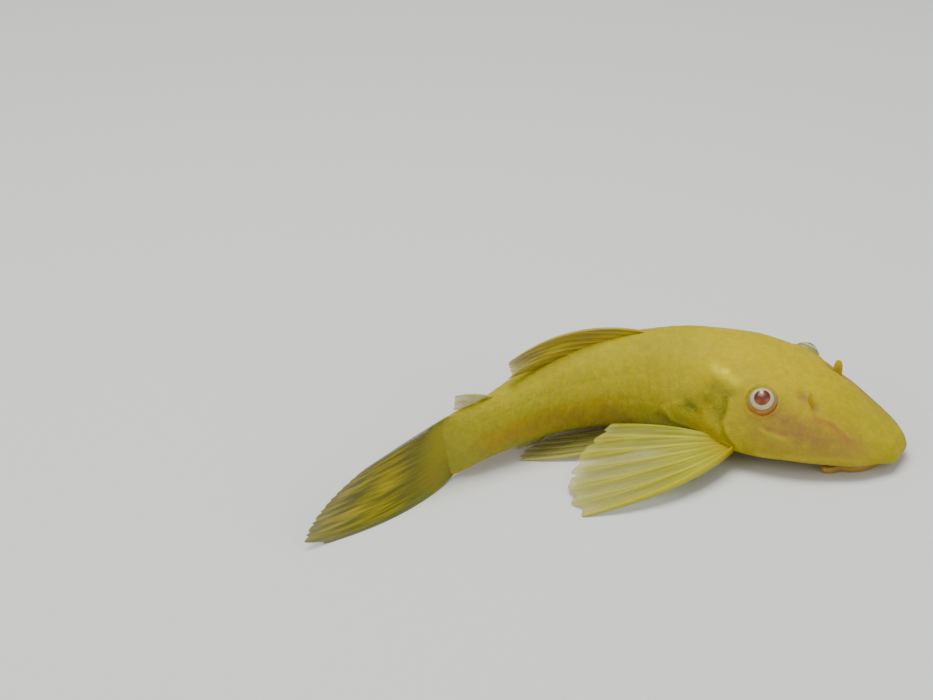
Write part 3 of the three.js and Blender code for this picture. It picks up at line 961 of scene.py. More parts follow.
    def orbit(self, points: Array, side: Side) -> tuple[Array, Array]:
        """The skin round one eye: a rim where the ball leaves it, and a sink under the ball.

        Args:
            points: the smooth body.
            side: whose eye.

        Returns:
            Heights in millimetres, and a mask of the warm crescent under the ball.
        """
        orbit = self.orbit_shape
        centre, _, around, out = EYES.stand(side)
        arm = points - centre
        depth = arm @ out
        level = arm - depth[..., None] * out
        away = np.linalg.norm(level, axis=-1)
        near = np.linalg.norm(arm, axis=-1) < orbit.reach
        rim = orbit.rim_height * hill(away, orbit.rim_at, orbit.rim_width)
        rim = rim + orbit.pad_height * hill(away, orbit.pad_at, orbit.pad_width)
        ball = np.sqrt(np.maximum(EYES.radius**2 - away**2, 0)) - EYES.sink
        inside = 1 - smooth(away, orbit.socket_from, orbit.socket_to)
        socket = np.minimum(ball - orbit.under_ball, 0.05) - depth
        height = rim * (1 - inside) + socket * inside
        below = -(level @ around) * np.sign(around[2]) / np.maximum(away, 1e-6)
        crescent = hill(away, orbit.crescent_at, orbit.crescent_width) * smooth(below, 0.0, 0.8)
        return np.where(near, height, 0), np.where(near, crescent, 0)

    def build(self) -> bpy.types.Object:
        """Makes the skin: the smooth body moved along its own normals by its forms."""
        share, degrees = self.spread()
        folded = np.where(degrees > 90, 180 - degrees, degrees)
        base = self.base(share, degrees)
        padded = np.concatenate([base[:, -1:], base, base[:, :1]], axis=1)
        normal = unit(np.cross(np.gradient(base, axis=0), padded[:, 2:] - padded[:, :-2]))
        height, masks = self.armour(share, folded)
        forms, marks = self.head(base, share, folded)
        masks.update(marks)
        masks["crescent"] = np.zeros_like(height)
        height = height + forms
        for side in Side:
            rise, crescent = self.orbit(base, side)
            height = height + rise
            masks["crescent"] = np.maximum(masks["crescent"], crescent)
        height -= self.nostril_depth * masks["nostril"]
        height *= smooth(share, 0.2, 1.5)
        skin = base + normal * height[..., None]
        masks["share"], masks["turn"] = share / 100, (folded + 90) / 180
        flat = {key: np.append(value.ravel(), [0.0, 0.0]) for key, value in masks.items()}
        flat["share"][-2:], flat["turn"][-2:] = (0, self.end / 100), 0.5
        poles = [self.base(0.0, 0.0), base[-1].mean(axis=0)]
        points = np.concatenate([skin.reshape(-1, 3), poles])
        piece = make_piece("skin", points, ring_faces(len(share), self.around), flat)
        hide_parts("head", "trunk", "tail")
        piece.data.materials.append(self.material())
        return piece

    def material(self) -> bpy.types.Material:
        """Moist golden skin: zones along and round the body, mottled, with marks, painted highlights,
        painted shade and prickles.
        """
        look, finish = Material("moist_golden_skin"), self.finish
        share, turn = look.attribute("share"), look.attribute("turn")
        colour = self.zones(look, share, turn)
        colour = look.blend(look.times(look.mottle(150.0, 2.6), 0.26), colour, finish.orange)
        colour = look.blend(look.times(look.mottle(240.0, 2.4), 0.26), colour, finish.lower)
        colour = look.blend(look.times(look.mottle(600.0, 3.2), 0.24), colour, finish.pale)
        colour = look.blend(look.times(look.mottle(1500.0, 3.6), 0.22), colour, finish.shade)
        along = look.node("CombineXYZ", {"X": share, "Y": turn}).outputs["Vector"]
        fuzz = look.effect(STREAKS, Place=along, Across=150.0, Along=14.0)
        plate = look.attribute("plate")
        colour = look.blend(look.times(fuzz, plate, 0.22), colour, finish.lower)
        colour = look.blend(look.times(look.attribute("seam"), 0.2), colour, finish.lower)
        for key, strength, ragged, tint in (
            # patch: the gill patch, with painted shade in the grooves beside it
            ("patch", 0.95, 0.55, finish.gill_patch_and_groove_shade),
            ("blush", 0.86, 0.3, finish.blush),
            ("streak", 0.7, 0.5, finish.streak),
            # pale: painted highlights along the raised rims and folds
            ("pale", 0.5, 0.5, finish.pale),
            ("nostril", 0.8, 0.2, finish.nostril),
            ("crescent", 0.6, 0.4, finish.underside),
            # the spot is a painted highlight
            ("spot", 0.95, 0.5, finish.spot),
        ):
            ragged = look.ranged(look.mottle(900.0, 3.0), (1 - ragged) * strength, strength)
            colour = look.blend(look.times(look.attribute(key), ragged), colour, tint)
        prickles = look.effect(PRICKLES, Place=look.place, Scale=3600.0)
        grain = look.noise(look.place, 2600.0, 3.0)
        pores = look.noise(look.place, 900.0, 2.0)
        height = look.math("ADD", look.times(prickles, 0.6), look.times(grain, 0.8))
        height = look.math("ADD", height, look.times(fuzz, plate, 1.2))
        height = look.math("ADD", height, look.times(pores, 1.6))
        look.feed(
            Base_Color=colour,
            Roughness=look.ranged(grain, finish.roughness - 0.1, finish.roughness + 0.12),
            Normal=look.bumped(height, 0.55, 0.0001),
            Specular_IOR_Level=finish.shine,
            Coat_Weight=finish.coat,
            Coat_Roughness=0.2,
            Subsurface_Weight=finish.subsurface,
            Subsurface_Radius=(1.0, 0.5, 0.08),
            Subsurface_Scale=0.0011,
        )
        return look.data

    def zones(self, look: Material, share: Socket, turn: Socket) -> Socket:
        """The wide zones of colour: back, flank, lower flank, tail, crown, snout and belly.

        Args:
            look: the skin's material.
            share: distance from the snout, 1 at the root of the tail fin.
            turn: 0 at the belly and 1 at the back.

        Returns:
            The colour before its markings.
        """
        finish = self.finish
        colour = look.blend(look.step(turn, 0.56, 0.80), finish.flank, finish.back)
        low = look.times(look.flipped(look.step(turn, 0.34, 0.62)), 0.9, look.step(share, 0.27, 0.42))
        colour = look.blend(low, colour, finish.lower)
        behind = look.flipped(look.step(share, 0.34, 0.5))
        crown = look.times(look.step(turn, 0.68, 0.86), look.step(share, 0.10, 0.22), behind)
        colour = look.blend(look.times(crown, 0.75), colour, finish.crown)
        rear = look.times(look.step(share, 0.6, 0.9), look.step(turn, 0.5, 0.78))
        colour = look.blend(look.times(rear, 0.85), colour, finish.tail)
        band = look.times(look.step(turn, 0.22, 0.42), look.flipped(look.step(turn, 0.5, 0.62)))
        ends = look.times(look.step(share, 0.52, 0.68), look.flipped(look.step(share, 0.9, 1.0)))
        colour = look.blend(look.times(band, ends, 0.7), colour, finish.orange)
        root = look.times(look.step(share, 0.92, 1.0), 0.65)
        colour = look.blend(root, colour, finish.lower)
        colour = look.blend(look.flipped(look.step(share, 0.02, 0.15)), colour, finish.snout)
        return look.blend(look.flipped(look.step(turn, 0.14, 0.24)), colour, finish.belly)


@dataclass
class Eye:
    """An eyeball: a wet ball with a red pupil, a notched cream iris and soft outer rings."""

    side: Side
    rings: int = 110
    around: int = 144
    tilt: float = 30.0

    def build(self, dress: bpy.types.Material) -> bpy.types.Object:
        """Makes the ball as circles round its outward axis, with a slightly bulging cornea."""
        _, backward, around, out = EYES.stand(self.side)
        polar = np.pi * (np.arange(1, self.rings) / self.rings)
        turn = 2 * np.pi * np.arange(self.around) / self.around
        p, a = np.meshgrid(polar, turn, indexing="ij")
        radius = EYES.radius * (1 + 0.025 * hill(p, 0, 0.5)) - 0.01
        across, third = np.sin(p) * radius, np.cross(out, backward)
        ball = out * (np.cos(p) * radius)[..., None]
        ball = ball + backward * (across * np.cos(a))[..., None]
        ball = ball + third * (across * np.sin(a))[..., None]
        centre = EYES.centre(self.side)
        poles = [centre + out * (EYES.radius * 1.025 - 0.01), centre - out * (EYES.radius - 0.01)]
        points = np.concatenate([(ball + centre).reshape(-1, 3), poles])
        up = np.sign(around[2]) * around
        tilt = math.radians(self.tilt)
        rise = up * math.cos(tilt) + backward * math.sin(tilt)
        aside = backward * math.cos(tilt) - up * math.sin(tilt)
        masks = {
            "away": np.append(p.ravel() / np.pi, [0, 1]),
            "rise": np.append((unit(ball) @ rise).ravel(), [0, 0]),
            "aside": np.append((unit(ball) @ aside).ravel(), [0, 0]),
        }
        name = self.side.name.lower()
        piece = make_piece(f"eyeball_{name}", points, ring_faces(len(polar), self.around), masks)
        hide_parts(f"eye_{name}")
        piece.data.materials.append(dress)
        return piece

    @staticmethod
    def material(finish: EyeFinish) -> bpy.types.Material:
        """Rings of colour by the angle from the eye's axis, under a clear wet coat.

        The pupil is a disc with a soft pale lappet that hangs into it from above, painted lighter red
        low down as a painted glow. The grey outer ring above its warm lower part and the thin dark
        line round the iris are painted shade.
        """
        look = Material("wet_eye")
        away, rise, aside = (look.attribute(key) for key in ("away", "rise", "aside"))
        edge = look.math("ADD", away, look.ranged(look.noise(look.place, 1500.0), -0.012, 0.012))
        tall = look.times(rise, 0.9)
        spread = look.math("ADD", look.times(tall, tall), look.times(aside, aside))
        disc = look.times(look.flipped(look.step(spread, 0.215, 0.255)), look.step(edge, 0.5, 0.3))
        high = look.math("DIVIDE", look.math("SUBTRACT", rise, 0.5), 0.3)
        wide = look.math("DIVIDE", aside, 0.115)
        far = look.math("ADD", look.math("POWER", high, 2.0), look.math("POWER", wide, 2.0))
        pupil = look.times(disc, look.step(far, 0.8, 1.2))
        # Painted glow: the pupil is painted lighter red low down, as light from within the eye
        painted_glow = look.blend(look.step(rise, -0.4, 0.2), finish.painted_glow, finish.pupil)
        veins = look.times(look.mottle(1500.0, 3.0), look.step(away, 0.15, 0.24), 0.55)
        colour = look.blend(veins, finish.iris, finish.vein)
        # The outer ring is grey above, as painted shade, and warm below
        ring = look.blend(look.step(rise, -0.62, -0.2), finish.warm, finish.rim)
        colour = look.blend(look.step(away, 0.25, 0.285), colour, ring)
        # A thin dark line of painted shade round the iris, stronger on the side turned from the light
        line = look.times(look.step(away, 0.254, 0.274), look.flipped(look.step(away, 0.278, 0.3)))
        line_shade_strength = look.ranged(look.step(look.math("ADD", aside, rise), -0.5, 0.4), 0.75, 0.35)
        colour = look.blend(look.times(line, line_shade_strength), colour, finish.line)
        colour = look.blend(pupil, colour, painted_glow)
        look.feed(
            Base_Color=colour,
            Roughness=0.35,
            Specular_IOR_Level=0.3,
            Coat_Weight=0.3,
            Coat_Roughness=0.08,
            Subsurface_Weight=0.1,
            Subsurface_Scale=0.0005,
        )
        return look.data


@dataclass
class NostrilFlap:
    """A small rounded flap of thin skin that stands behind a nostril."""

    side: Side
    share: float = 16.6
    turn: float = 58.5
    radius: float = 0.56
    height: float = 1.25
    thinness: float = 0.24
    cup: float = 0.22
    around: int = 72

    def profile(self) -> tuple[Array, Array]:
        """Half width against height: straight at the root, then a super-ellipse to the tip."""
        rise = np.sin(np.linspace(0, np.pi / 2, 44))[:-1]
        level = np.concatenate([np.linspace(-0.5, 0, 9)[:-1], rise])
        reach = self.radius * (1 - np.maximum(level, 0) ** 2.6) ** (1 / 2.6)
        return reach, level

    def build(self, dress: bpy.types.Material) -> bpy.types.Object:
        """Makes the flap as flat rings of its profile, bent round a little like a spoon."""
        share, turn = self.share, self.side.turn(self.turn)
        point, backward, _, out = BODY.stand(share, turn)
        _, left, _ = POSE.frame(share)
        up = unit(0.3 * out + 0.1 * backward + [0, 0, 0.9])
        wide = 0.7 * self.side.value * left - 0.7 * backward
        wide = unit(wide - up * (wide @ up))
        thin = np.cross(wide, up) * self.side.value
        reach, level = self.profile()
        angle = 2 * np.pi * np.arange(self.around) / self.around
        r, a = np.meshgrid(reach, angle, indexing="ij")
        through = self.thinness * r * np.cos(a) + self.cup * r * np.sin(a) ** 2
        high = self.height * np.broadcast_to(level[:, None], r.shape)
        flap = point + thin * through[..., None] + wide * (r * np.sin(a))[..., None]
        flap = flap + up * high[..., None]
        poles = [point - up * 0.5 * self.height, point + up * self.height]
        points = np.concatenate([flap.reshape(-1, 3), poles])
        turned = bool(np.cross(thin, wide) @ up < 0)
        faces = ring_faces(len(reach), self.around, turned)
        tall = np.append(np.repeat(level, self.around), [0, 1])
        masks = {
            "share": np.full(len(points), share / 100),
            "turn": np.full(len(points), (self.turn + 90) / 180),
            "nostril": 0.3 * (1 - smooth(tall, 0.3, 0.8)),
            # painted highlight: the flap grows paler towards its tip, where the light falls
            "pale": smooth(tall, 0.0, 0.7),
        }
        piece = make_piece(f"nostril_flap_{self.side.name.lower()}", points, faces, masks)
        piece.data.materials.append(dress)
        return piece


# Fins


@dataclass
class Fin:
    """A fin as a fan of rays in a thin membrane, between a root curve and a tip curve.

    root, tip and bow give a column's two ends and its sideways curve, at 0 for the first ray to 1
    for the last. The first ray may be much thicker, as a spine.
    """

    name: str
    node: str
    rays: int
    root: Callable[[Array], Array]
    tip: Callable[[Array], Array]
    bow: Callable[[Array], Array]
    bent: bool
    spine: float = 0.2
    spine_width: float = 0.3
    last: float = 0.06
    ridge: float = 0.06
    membrane: float = 0.1
    pleat: float = 0.0
    columns_per_ray: int = 10
    steps: int = 72
    scallop: float = 0.02
    branch: float = 0.45
    split: float = 0.17
    ray_widths: tuple[float, float] = (0.12, 0.075)
    floor_gap: float = 0.003
    margins: bool = False
    finish: FinFinish = field(default_factory=FinFinish)

    def build(self) -> bpy.types.Object:
        """Makes the fin: quadratic curves from root to tip, pleated, and thickened along the rays.

        A ray is a ridge whose height is a bell curve across it. It splits in two beyond the branch
        share of its length, and between rays the rear edge draws back a little.
        """
        across = np.linspace(0, 1, (self.rays - 1) * self.columns_per_ray + 1)
        place = across * (self.rays - 1)
        number = np.round(place)
        reach = 1 - self.scallop * (0.6 + 0.4 * np.sin(9.1 * number)) * np.sin(np.pi * place) ** 2
        u, v = np.meshgrid(across, np.linspace(0, 1, self.steps + 1), indexing="ij")
        w = (v * reach[:, None])[..., None]
        start, end = self.root(across)[:, None], self.tip(across)[:, None]
        control = (start + end) / 2 + self.bow(across)[:, None]
        middle = (1 - w) ** 2 * start + 2 * w * (1 - w) * control + w**2 * end
        if self.bent:
            middle = POSE.bend(middle)
        normal = unit(np.cross(np.gradient(middle, axis=0), np.gradient(middle, axis=1)))
        fold = -np.cos(2 * np.pi * place)[:, None] * smooth(v, 0.02, 0.3) * (1 - 0.4 * v)
        middle = middle + normal * (self.pleat * fold * smooth(u, 0.0, 0.1))[..., None]
        outer = (number == 0)[:, None]
        split = np.where(outer, 0, self.split * smooth(v, self.branch, 1.0))
        beside = np.abs((place - number)[:, None]) - split
        width = np.where(outer, self.spine_width, mix(*self.ray_widths, v))
        ridge = np.exp(-((beside / width) ** 2))
        high = np.where(number == 0, self.spine, self.ridge)
        high = np.where(number == self.rays - 1, self.last, high)[:, None]
        half = self.membrane / 2 * mix(1.0, 0.6, v) + high * ridge * mix(1.0, 0.25, v)
        half = half * (0.25 + 0.75 * np.sqrt(np.clip((1 - v) / 0.03, 0, 1)))
        points, faces = closed_sheet(middle, half)
        points[:, 2] = np.maximum(points[:, 2], self.floor_gap - SHIFT[2])
        margin = np.maximum(1 - smooth(u, 0.0, 0.13), smooth(u, 0.91, 1.0))
        masks = {
            "ray": ridge,
            "along": v,
            "across": u,
            "spine": (outer * ridge) + 0 * v,
            "margin": margin if self.margins else 0 * v,
        }
        doubled = {key: np.tile(value.ravel(), 2) for key, value in masks.items()}
        piece = make_piece(self.name, points, faces, doubled)
        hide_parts(self.node)
        piece.data.materials.append(self.material())
        return piece

    def material(self) -> bpy.types.Material:
        """Pale rays in a clear yellowish membrane, with streaks along them and a pale rim."""
        look, finish = Material(f"clear_{self.name}"), self.finish
        ray, along, across = (look.attribute(key) for key in ("ray", "along", "across"))
        spine, margin = look.attribute("spine"), look.attribute("margin")
        lengthwise = look.node("CombineXYZ", {"X": across, "Y": along}).outputs["Vector"]
        streak = look.effect(STREAKS, Place=lengthwise, Across=22.0, Along=3.2)
        fine = look.effect(STREAKS, Place=lengthwise, Across=70.0, Along=5.0)
        inner = look.flipped(margin)
        colour = look.blend(ray, finish.membrane, finish.ray)
        dark = look.times(look.flipped(streak), inner, finish.streaks)
        colour = look.blend(dark, colour, finish.dark)
        bright = look.times(streak, streak, look.step(along, 0.25, 0.6), inner)
        colour = look.blend(look.times(bright, min(1.0, 1.4 * finish.streaks)), colour, finish.bright)
        colour = look.blend(look.times(fine, 0.25), colour, finish.edge)
        colour = look.blend(spine, colour, finish.spine)
        base = look.blend(look.step(across, 0.1, 0.7), finish.base_below, finish.base)
        near = look.times(look.flipped(look.step(along, 0.08, 0.36)), 0.86)
        colour = look.blend(near, colour, base)
        tips = look.times(look.step(along, 0.9, 1.0), 0.6)
        rim = look.math("MAXIMUM", look.times(margin, 0.8), tips)
        colour = look.blend(rim, colour, finish.edge)
        clear = look.ranged(ray, finish.membrane_alpha, finish.ray_alpha)
        clear = look.math("MAXIMUM", clear, spine)
        fade = look.ranged(look.step(along, 0.55, 1.0), 1.0, 1.0 - finish.tip_fade)
        alpha = look.times(clear, fade, look.ranged(margin, 1.0, 0.62))
        alpha = look.added(alpha, look.flipped(look.step(along, 0.05, finish.solid_root)))
        look.feed(
            Base_Color=colour,
            Alpha=alpha,
            Roughness=finish.roughness,
            Normal=look.bumped(look.math("ADD", look.noise(look.place, 3000.0), fine), 0.25, 0.00005),
            Specular_IOR_Level=0.2,
            Coat_Weight=0.06,
            Coat_Roughness=0.15,
            Subsurface_Weight=0.12,
            Subsurface_Scale=0.0006,
        )
        return look.data


@dataclass(frozen=True)
class PairedShape:
    """The measures of a paired fin, in percent of the standard length and in degrees."""

    rays: int
    at: float
    chord: float
    turn: float
    sunk: float
    length: float
    shortest: float
    innermost: float
    tip_height: float
    inner_tip_height: float
    bow_forward: float
    bow_up: float
    spine: float

    def make(self, node: str, side: Side, spread: float, finish: FinFinish) -> Fin:
        """A fin of this shape on one side.

        Its rays fan over the floor, from the spread angle at the first ray to the innermost at the
        last, measured outwards from the backward direction at its root.

        Args:
            node: the node that the fin takes the place of.
            side: the flank it grows from.
            spread: how far the first ray turns out.
            finish: its colours.

        Returns:
            The fin, not yet built.
        """
        backward, left, _ = POSE.frame(self.at)
        level = unit(np.array([backward[0], backward[1], 0.0]))
        outward = left * side.value

        def direction(across: Array, more: float = 0.0) -> Array:
            """The level direction of a ray, turned further out by some degrees."""
            angle = np.radians(mix(spread, self.innermost, across) + more)[..., None]
            return level * np.cos(angle) + outward * np.sin(angle)

        def root(across: Array) -> Array:
            """The points where the rays start, sunk into the flank."""
            skin = BODY.point(self.at + self.chord * across, side.turn(self.turn) + 0 * across)
            return skin - direction(across) * percent(self.sunk)

        def tip(across: Array) -> Array:
            """The points where the rays end."""
            length = percent(mix(self.length, self.shortest, across**1.4) + self.sunk)
            point = root(across) + direction(across) * length[:, None]
            point[:, 2] = percent(mix(self.tip_height, self.inner_tip_height, across**2))
            return point

        def bow(across: Array) -> Array:
            """How far each ray's middle bows forward and up."""
            arm = direction(across, 90) * percent(self.bow_forward * (1 - across))[:, None]
            arm[:, 2] = percent(self.bow_up)
            return arm

        return Fin(
            f"{node}_web", node, self.rays, root, tip, bow, False,
            spine=self.spine, pleat=0.14, scallop=0.05, finish=finish,
        )


PECTORAL = PairedShape(7, 31, 4.2, -14, 5, 35, 19, 14, 0.15, 6.4, 10.5, 2.4, 0.42)
PELVIC = PairedShape(6, 49.5, 3.6, -58, 2, 29.5, 18, 5, 0.15, 1.2, 8, 0.6, 0.26)


def straight_points(share: Array, aside: Array, up: Array) -> Array:
    """Points of the straight fish from shares backward, and millimetres left and up."""
    share, aside, up = np.broadcast_arrays(share, aside, up)
    return np.stack([percent(share), aside, up], axis=-1)


def dorsal_fin() -> Fin:
    """The tall fin of the back, folded down behind its spine."""

    def root(u: Array) -> Array:
        """Along the ridge of the back."""
        share = mix(48.3, 70.0, u)
        return straight_points(share, 0 * u, percent(BODY.top(share) - 1.6))

    def tip(u: Array) -> Array:
        """Close together over the tail, the spine's tip highest."""
        share = mix(82.0, 83.5, u)
        aside = percent(0.8 * np.sin(2 * np.pi * u))
        return straight_points(share, aside, percent(BODY.top(share) + mix(4.8, 1.6, u)))

    def bow(u: Array) -> Array:
        """Upward, most at the spine."""
        return straight_points(0 * u, 0 * u, percent(mix(4.2, 0.6, u)))

    finish = FinFinish(
        spine=srgb(168, 164, 70),
        ray=srgb(168, 152, 12),
        membrane=srgb(146, 130, 0),
        base=srgb(166, 124, 0),
        base_below=srgb(176, 158, 6),
        dark=srgb(98, 86, 0),
        membrane_alpha=0.93,
        ray_alpha=0.97,
        streaks=0.55,
        tip_fade=0.25,
    )
    return Fin(
        "dorsal_web", "dorsal_fin", 8, root, tip, bow, True,
        spine=0.16, ridge=0.05, pleat=0.07, finish=finish,
    )


def adipose_fin() -> Fin:
    """The short spine of the tail with its small membrane."""

    def root(u: Array) -> Array:
        """Along the ridge of the tail."""
        share = mix(85.5, 92.0, u)
        return straight_points(share, 0 * u, percent(BODY.top(share) - 1.4))

    def tip(u: Array) -> Array:
        """The spine's tip over the membrane's end."""
        share = mix(97.0, 97.5, u)
        return straight_points(share, 0 * u, percent(BODY.top(share) + mix(3.4, 0.6, u)))

    def bow(u: Array) -> Array:
        """Slightly upward at the spine."""
        return straight_points(0 * u, 0 * u, percent(mix(1.2, 0.1, u)))

    finish = FinFinish(spine=srgb(186, 192, 110), membrane=srgb(146, 146, 40), membrane_alpha=0.55)
    return Fin(
        "adipose_web", "adipose_fin", 3, root, tip, bow, True,
        spine=0.18, last=0.04, columns_per_ray=16, finish=finish,
    )


def anal_fin() -> Fin:
    """The small fin under the tail."""

    def root(u: Array) -> Array:
        """Along the ridge of the belly."""
        share = mix(68.5, 73.5, u)
        return straight_points(share, 0 * u, percent(BODY.bottom(share) + 1.6))

    def tip(u: Array) -> Array:
        """Down and back to the floor."""
        share = mix(79.0, 82.0, u)
        return straight_points(share, 0 * u, percent(BODY.bottom(share) - mix(3.4, 1.5, u)))

    def bow(u: Array) -> Array:
        """Slightly downward."""
        return straight_points(0 * u, 0 * u, percent(-0.3 + 0 * u))

    return Fin("anal_web", "anal_fin", 5, root, tip, bow, True, spine=0.12, last=0.06)


def tail_fin() -> Fin:
    """The tail fin, held half closed, its lower lobe longer and laid along the floor."""

    def root(u: Array) -> Array:
        """Up the end of the tail."""
        rise = mix(BODY.bottom(100.0) + 0.4, BODY.top(100.0) - 0.4, u)
        return straight_points(98.6 + 0 * u, 0 * u, percent(rise))

    def tip(u: Array) -> Array:
        """From the lower lobe on the floor forward and up to the upper lobe."""
        share = mix(138.0, 120.0, u**1.5) - 5 * (1 - smooth(u, 0, 0.14))
        rise = POSE.floor_under(share) - 0.12 + percent(9.7) * u**0.8
        return straight_points(share, -1.5 * (1 - u) ** 2, rise)

    def bow(u: Array) -> Array:
        """The lower edge bows down and to the right, and the upper edge up."""
        return straight_points(0 * u, -3.0 * (1 - u) ** 2, percent(mix(-1.4, 0.3, u)))

    finish = FinFinish(
        spine=srgb(158, 158, 76),
        ray=srgb(142, 136, 16),
        membrane=srgb(112, 110, 12),
        bright=srgb(184, 168, 8),
        dark=srgb(70, 74, 12),
        base=srgb(148, 142, 26),
        base_below=srgb(132, 122, 20),
        edge=srgb(104, 114, 44),
        membrane_alpha=0.93,
        ray_alpha=0.97,
        streaks=0.8,
        tip_fade=0.2,
    )
    return Fin(
        "tail_web", "tail_fin", 15, root, tip, bow, True,
        spine=0.12, last=0.12, ridge=0.045, pleat=0.03, steps=110, margins=True, finish=finish,
    )


@dataclass
class SuckerMouth:
    """The round lips under the snout, covered in small soft bumps, with a barbel at each corner."""

    share: float = 9.4
    half_width: float = 4.3
    half_length: float = 3.1
    thickness: float = 0.7
    neck: float = 0.9
    barbel: float = 1.5
    bulge: float = 0.12
    opening_depth: float = 0.32
    opening_size: tuple[float, float] = (1.9, 0.8)
    bump_height: float = 0.05
    bumps_inward: int = 9
    bumps_round: int = 26
    under_rings: int = 60
    wall_rings: int = 10
    top_rings: int = 20
    around: int = 260
    finish: LipFinish = field(default_factory=LipFinish)

    def outline(self, turn: Array) -> Array:
        """How far the lips reach at a turn: 1, and more at the two barbels, just behind midway."""
        aim = np.abs(np.cos(turn - 0.35 * np.sign(np.cos(turn))))
        return 1 + self.barbel / self.half_width * (np.maximum(0, aim - 0.93) / 0.07) ** 1.5

    def build(self) -> bpy.types.Object:
        """Makes the lips: rings from the mouth opening over the flat underside to the top.

        Underneath the height is a cup in the middle and a floor of round bumps. The side is a
        bulging wall, and the top climbs inwards by a smooth step into the head.
        """
        backward, left, _ = POSE.frame(self.share)
        level = unit(np.array([backward[0], backward[1], 0.0]))
        centre, up = POSE.at(self.share) * [1, 1, 0], np.array([0, 0, 1.0])
        turn = 2 * np.pi * np.arange(self.around) / self.around
        under, wall, top = self.under_rings, self.wall_rings, self.top_rings
        parts = [np.linspace(0.02, 1, under), np.ones(wall), np.linspace(0.97, 0.05, top)]
        reach = np.concatenate(parts)
        side = np.concatenate([np.zeros(under), np.linspace(0.06, 1, wall), np.ones(top)])
        r, a = np.meshgrid(reach, turn, indexing="ij")
        lift = np.broadcast_to(side[:, None], r.shape)
        swell = self.bulge * np.sin(np.pi * lift)
        x = np.cos(a) * self.half_width * self.outline(a) * (r + swell / self.half_width)
        y = np.sin(a) * self.half_length * self.outline(a) * (r + swell / self.half_length)
        wide, long = self.opening_size
        opening = 1 - smooth(np.hypot(x / wide, y / long), 0.7, 1.15)
        bumps = 0.5 - 0.5 * np.cos(2 * np.pi * r * self.bumps_inward) * np.cos(a * self.bumps_round)
        floor = self.bump_height * (1 - bumps) * (1 - smooth(r, 0.9, 1.0))
        floor = floor + self.opening_depth * opening
        tooth = opening * hill(y, -0.25, 0.12) + opening * hill(y, 0.3, 0.12)
        neck = self.neck * (1 - smooth(r, 0.6, 0.98)) * (lift == 1)
        z = np.where(lift > 0, self.thickness * lift, floor) + neck
        lips = centre + left * x[..., None] + level * y[..., None] + up * z[..., None]
        poles = centre + up * np.array([[self.opening_depth], [self.thickness + self.neck]])
        points = np.concatenate([lips.reshape(-1, 3), poles])
        faces = ring_faces(len(reach), self.around, turned=False)
        masks = {"bump": bumps * (lift == 0), "opening": opening, "tooth": tooth}
        flat = {key: np.append(value.ravel(), [0, 0]) for key, value in masks.items()}
        flat["opening"][-2] = 1
        piece = make_piece("sucker_lips", points, faces, flat)
        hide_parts("sucker_mouth")
        piece.data.materials.append(self.material())
        return piece

    def material(self) -> bpy.types.Material:
        """Soft skin with darker random patches, painted shade between its bumps and in the opening,
        and pale tooth rows.
        """
        look, finish = Material("soft_lips"), self.finish
        # Painted shade between the bumps and in the mouth opening
        between = look.flipped(look.attribute("bump"))
        colour = look.blend(look.times(between, 0.35), finish.base, finish.dark)
        colour = look.blend(look.times(look.mottle(500.0, 2.0), 0.25), colour, finish.dark)
        colour = look.blend(look.times(look.attribute("opening"), 0.8), colour, finish.dark)
        colour = look.blend(look.attribute("tooth"), colour, finish.tooth)
        prickles = look.effect(PRICKLES, Place=look.place, Scale=3200.0)
        look.feed(
            Base_Color=colour,
            Roughness=0.45,
            Normal=look.bumped(prickles, 0.3, 0.00005),
            Coat_Weight=0.3,
            Subsurface_Weight=0.25,
            Subsurface_Scale=0.0008,
        )
        return look.data


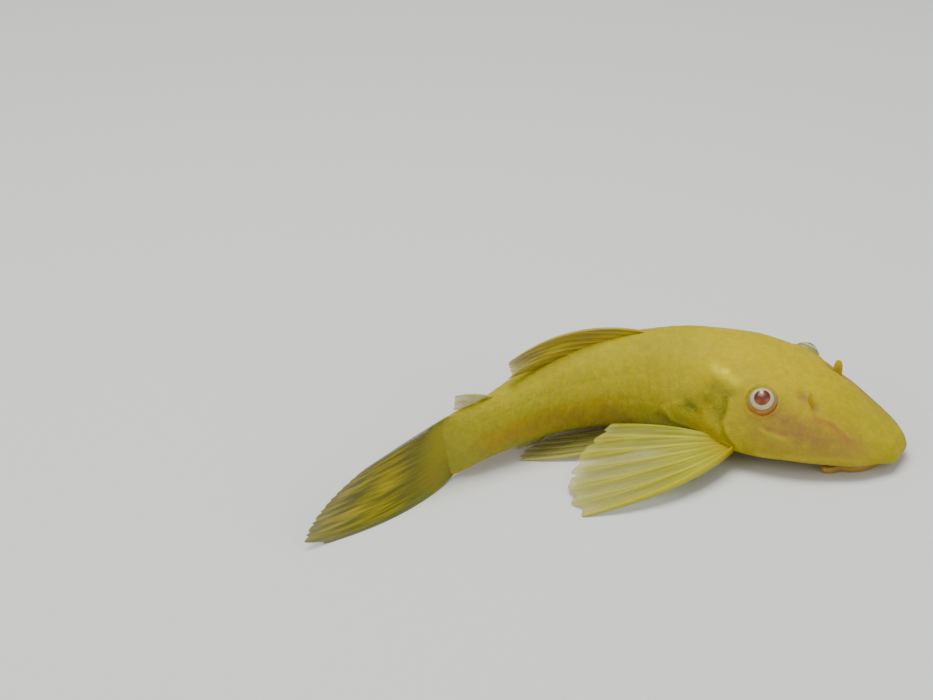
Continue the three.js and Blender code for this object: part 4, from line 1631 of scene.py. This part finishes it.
@dataclass
class Studio:
    """A pale floor, three soft lights and the camera at the photograph's angle."""

    elevation: float = 24.2
    distance: float = 237.5
    pixels_per_radian: float = 2189.5
    frame_width: int = 933
    target: tuple[float, float, float] = (-44.34, 17.39, 5.0)
    floor_radius: float = 1500.0
    floor_rings: int = 60
    floor_around: int = 72
    floor_level: float = -0.02

    def build(self) -> None:
        """Sets up the floor, the lights, the world and the camera."""
        self.floor()
        self.light("key", (-0.04, 0.04, 0.38), 0.26, 1.6, (1.0, 0.98, 0.93))
        self.light("side", (0.30, -0.30, 0.22), 0.3, 0.6, (1.0, 1.0, 1.0))
        self.light("fill", (-0.30, -0.26, 0.16), 0.3, 0.45, (0.96, 0.98, 1.0))
        world = bpy.data.worlds.new("pale_room")
        world.use_nodes = True
        world.node_tree.nodes["Background"].inputs["Color"].default_value = (0.84, 0.86, 0.88, 1)
        world.node_tree.nodes["Background"].inputs["Strength"].default_value = 0.46
        bpy.context.scene.world = world
        self.camera()

    def floor(self) -> None:
        """A large pale disc under the fish."""
        radii = np.linspace(0, self.floor_radius, self.floor_rings)
        turns = np.radians(np.arange(self.floor_around) * (360 // self.floor_around))
        r, a = np.meshgrid(radii, turns, indexing="ij")
        points = np.stack([r * np.cos(a), r * np.sin(a), 0 * r + self.floor_level], axis=-1) / 1000
        faces = grid_faces(self.floor_rings, self.floor_around, wrap=True)
        mesh = bpy.data.meshes.new("floor")
        mesh.from_pydata(points.reshape(-1, 3).tolist(), [], faces.tolist())
        disc = bpy.data.objects.new("floor", mesh)
        bpy.context.collection.objects.link(disc)
        look = Material("pale_floor")
        look.feed(Base_Color=(0.74, 0.75, 0.74), Roughness=0.7)
        mesh.materials.append(look.data)

    def light(self, name: str, place: tuple, size: float, power: float, colour: Colour) -> None:
        """Adds a square area light that aims at the fish.

        Args:
            name: the light's name.
            place: where it stands, in metres.
            size: length of its sides.
            power: watts.
            colour: its tint.
        """
        data = bpy.data.lights.new(name, "AREA")
        data.size, data.energy, data.color = size, power, colour
        lamp = bpy.data.objects.new(name, data)
        lamp.location = place
        aim = Vector((0, 0, 0.004)) - Vector(place)
        lamp.rotation_euler = aim.to_track_quat("-Z", "Y").to_euler()
        bpy.context.collection.objects.link(lamp)

    def camera(self) -> None:
        """Places the camera: it looks along +Y and down, at a point beside the fish's middle."""
        data = bpy.data.cameras.new("camera")
        data.sensor_width = 36.0
        data.lens = self.pixels_per_radian / self.frame_width * data.sensor_width
        data.clip_start, data.clip_end = 0.01, 10.0
        lift = math.radians(self.elevation)
        aim = (np.array(self.target) + SHIFT) / 1000
        back = np.array([0, -math.cos(lift), math.sin(lift)]) * self.distance / 1000
        camera = bpy.data.objects.new("camera", data)
        camera.location = Vector(aim + back)
        camera.rotation_euler = (math.pi / 2 - lift, 0, 0)
        bpy.context.collection.objects.link(camera)
        bpy.context.scene.camera = camera


def main() -> None:
    """Builds the fish from its skin outwards, then the studio."""
    skin = Skin().build()
    wet = Eye.material(EyeFinish())
    for side in Side:
        Eye(side).build(wet)
        NostrilFlap(side).build(skin.data.materials[0])
    SuckerMouth().build()
    pectoral = FinFinish(
        spine=srgb(180, 174, 34),
        ray=srgb(190, 186, 46),
        membrane=srgb(152, 154, 8),
        membrane_alpha=0.54,
        ray_alpha=0.78,
        tip_fade=0.25,
        solid_root=0.65,
    )
    PECTORAL.make("pectoral_fin_right", Side.RIGHT, 61, pectoral).build()
    PECTORAL.make("pectoral_fin_left", Side.LEFT, 42, pectoral).build()
    # The pelvic fins' darker olive membrane and dimmer rays are partly painted shade, for the shadow
    # they lie in under the body and the pectoral fins
    pelvic = FinFinish(
        spine=srgb(182, 178, 84),
        ray=srgb(184, 180, 86),
        membrane=srgb(120, 118, 30),
        membrane_alpha=0.5,
        solid_root=0.5,
    )
    PELVIC.make("pelvic_fin_right", Side.RIGHT, 20, pelvic).build()
    PELVIC.make("pelvic_fin_left", Side.LEFT, 34, pelvic).build()
    for fin in (dorsal_fin(), adipose_fin(), anal_fin(), tail_fin()):
        fin.build()
    Studio().build()


if __name__ == "__main__":
    logging.basicConfig(level=logging.INFO, format="%(name)s %(message)s")
    main()
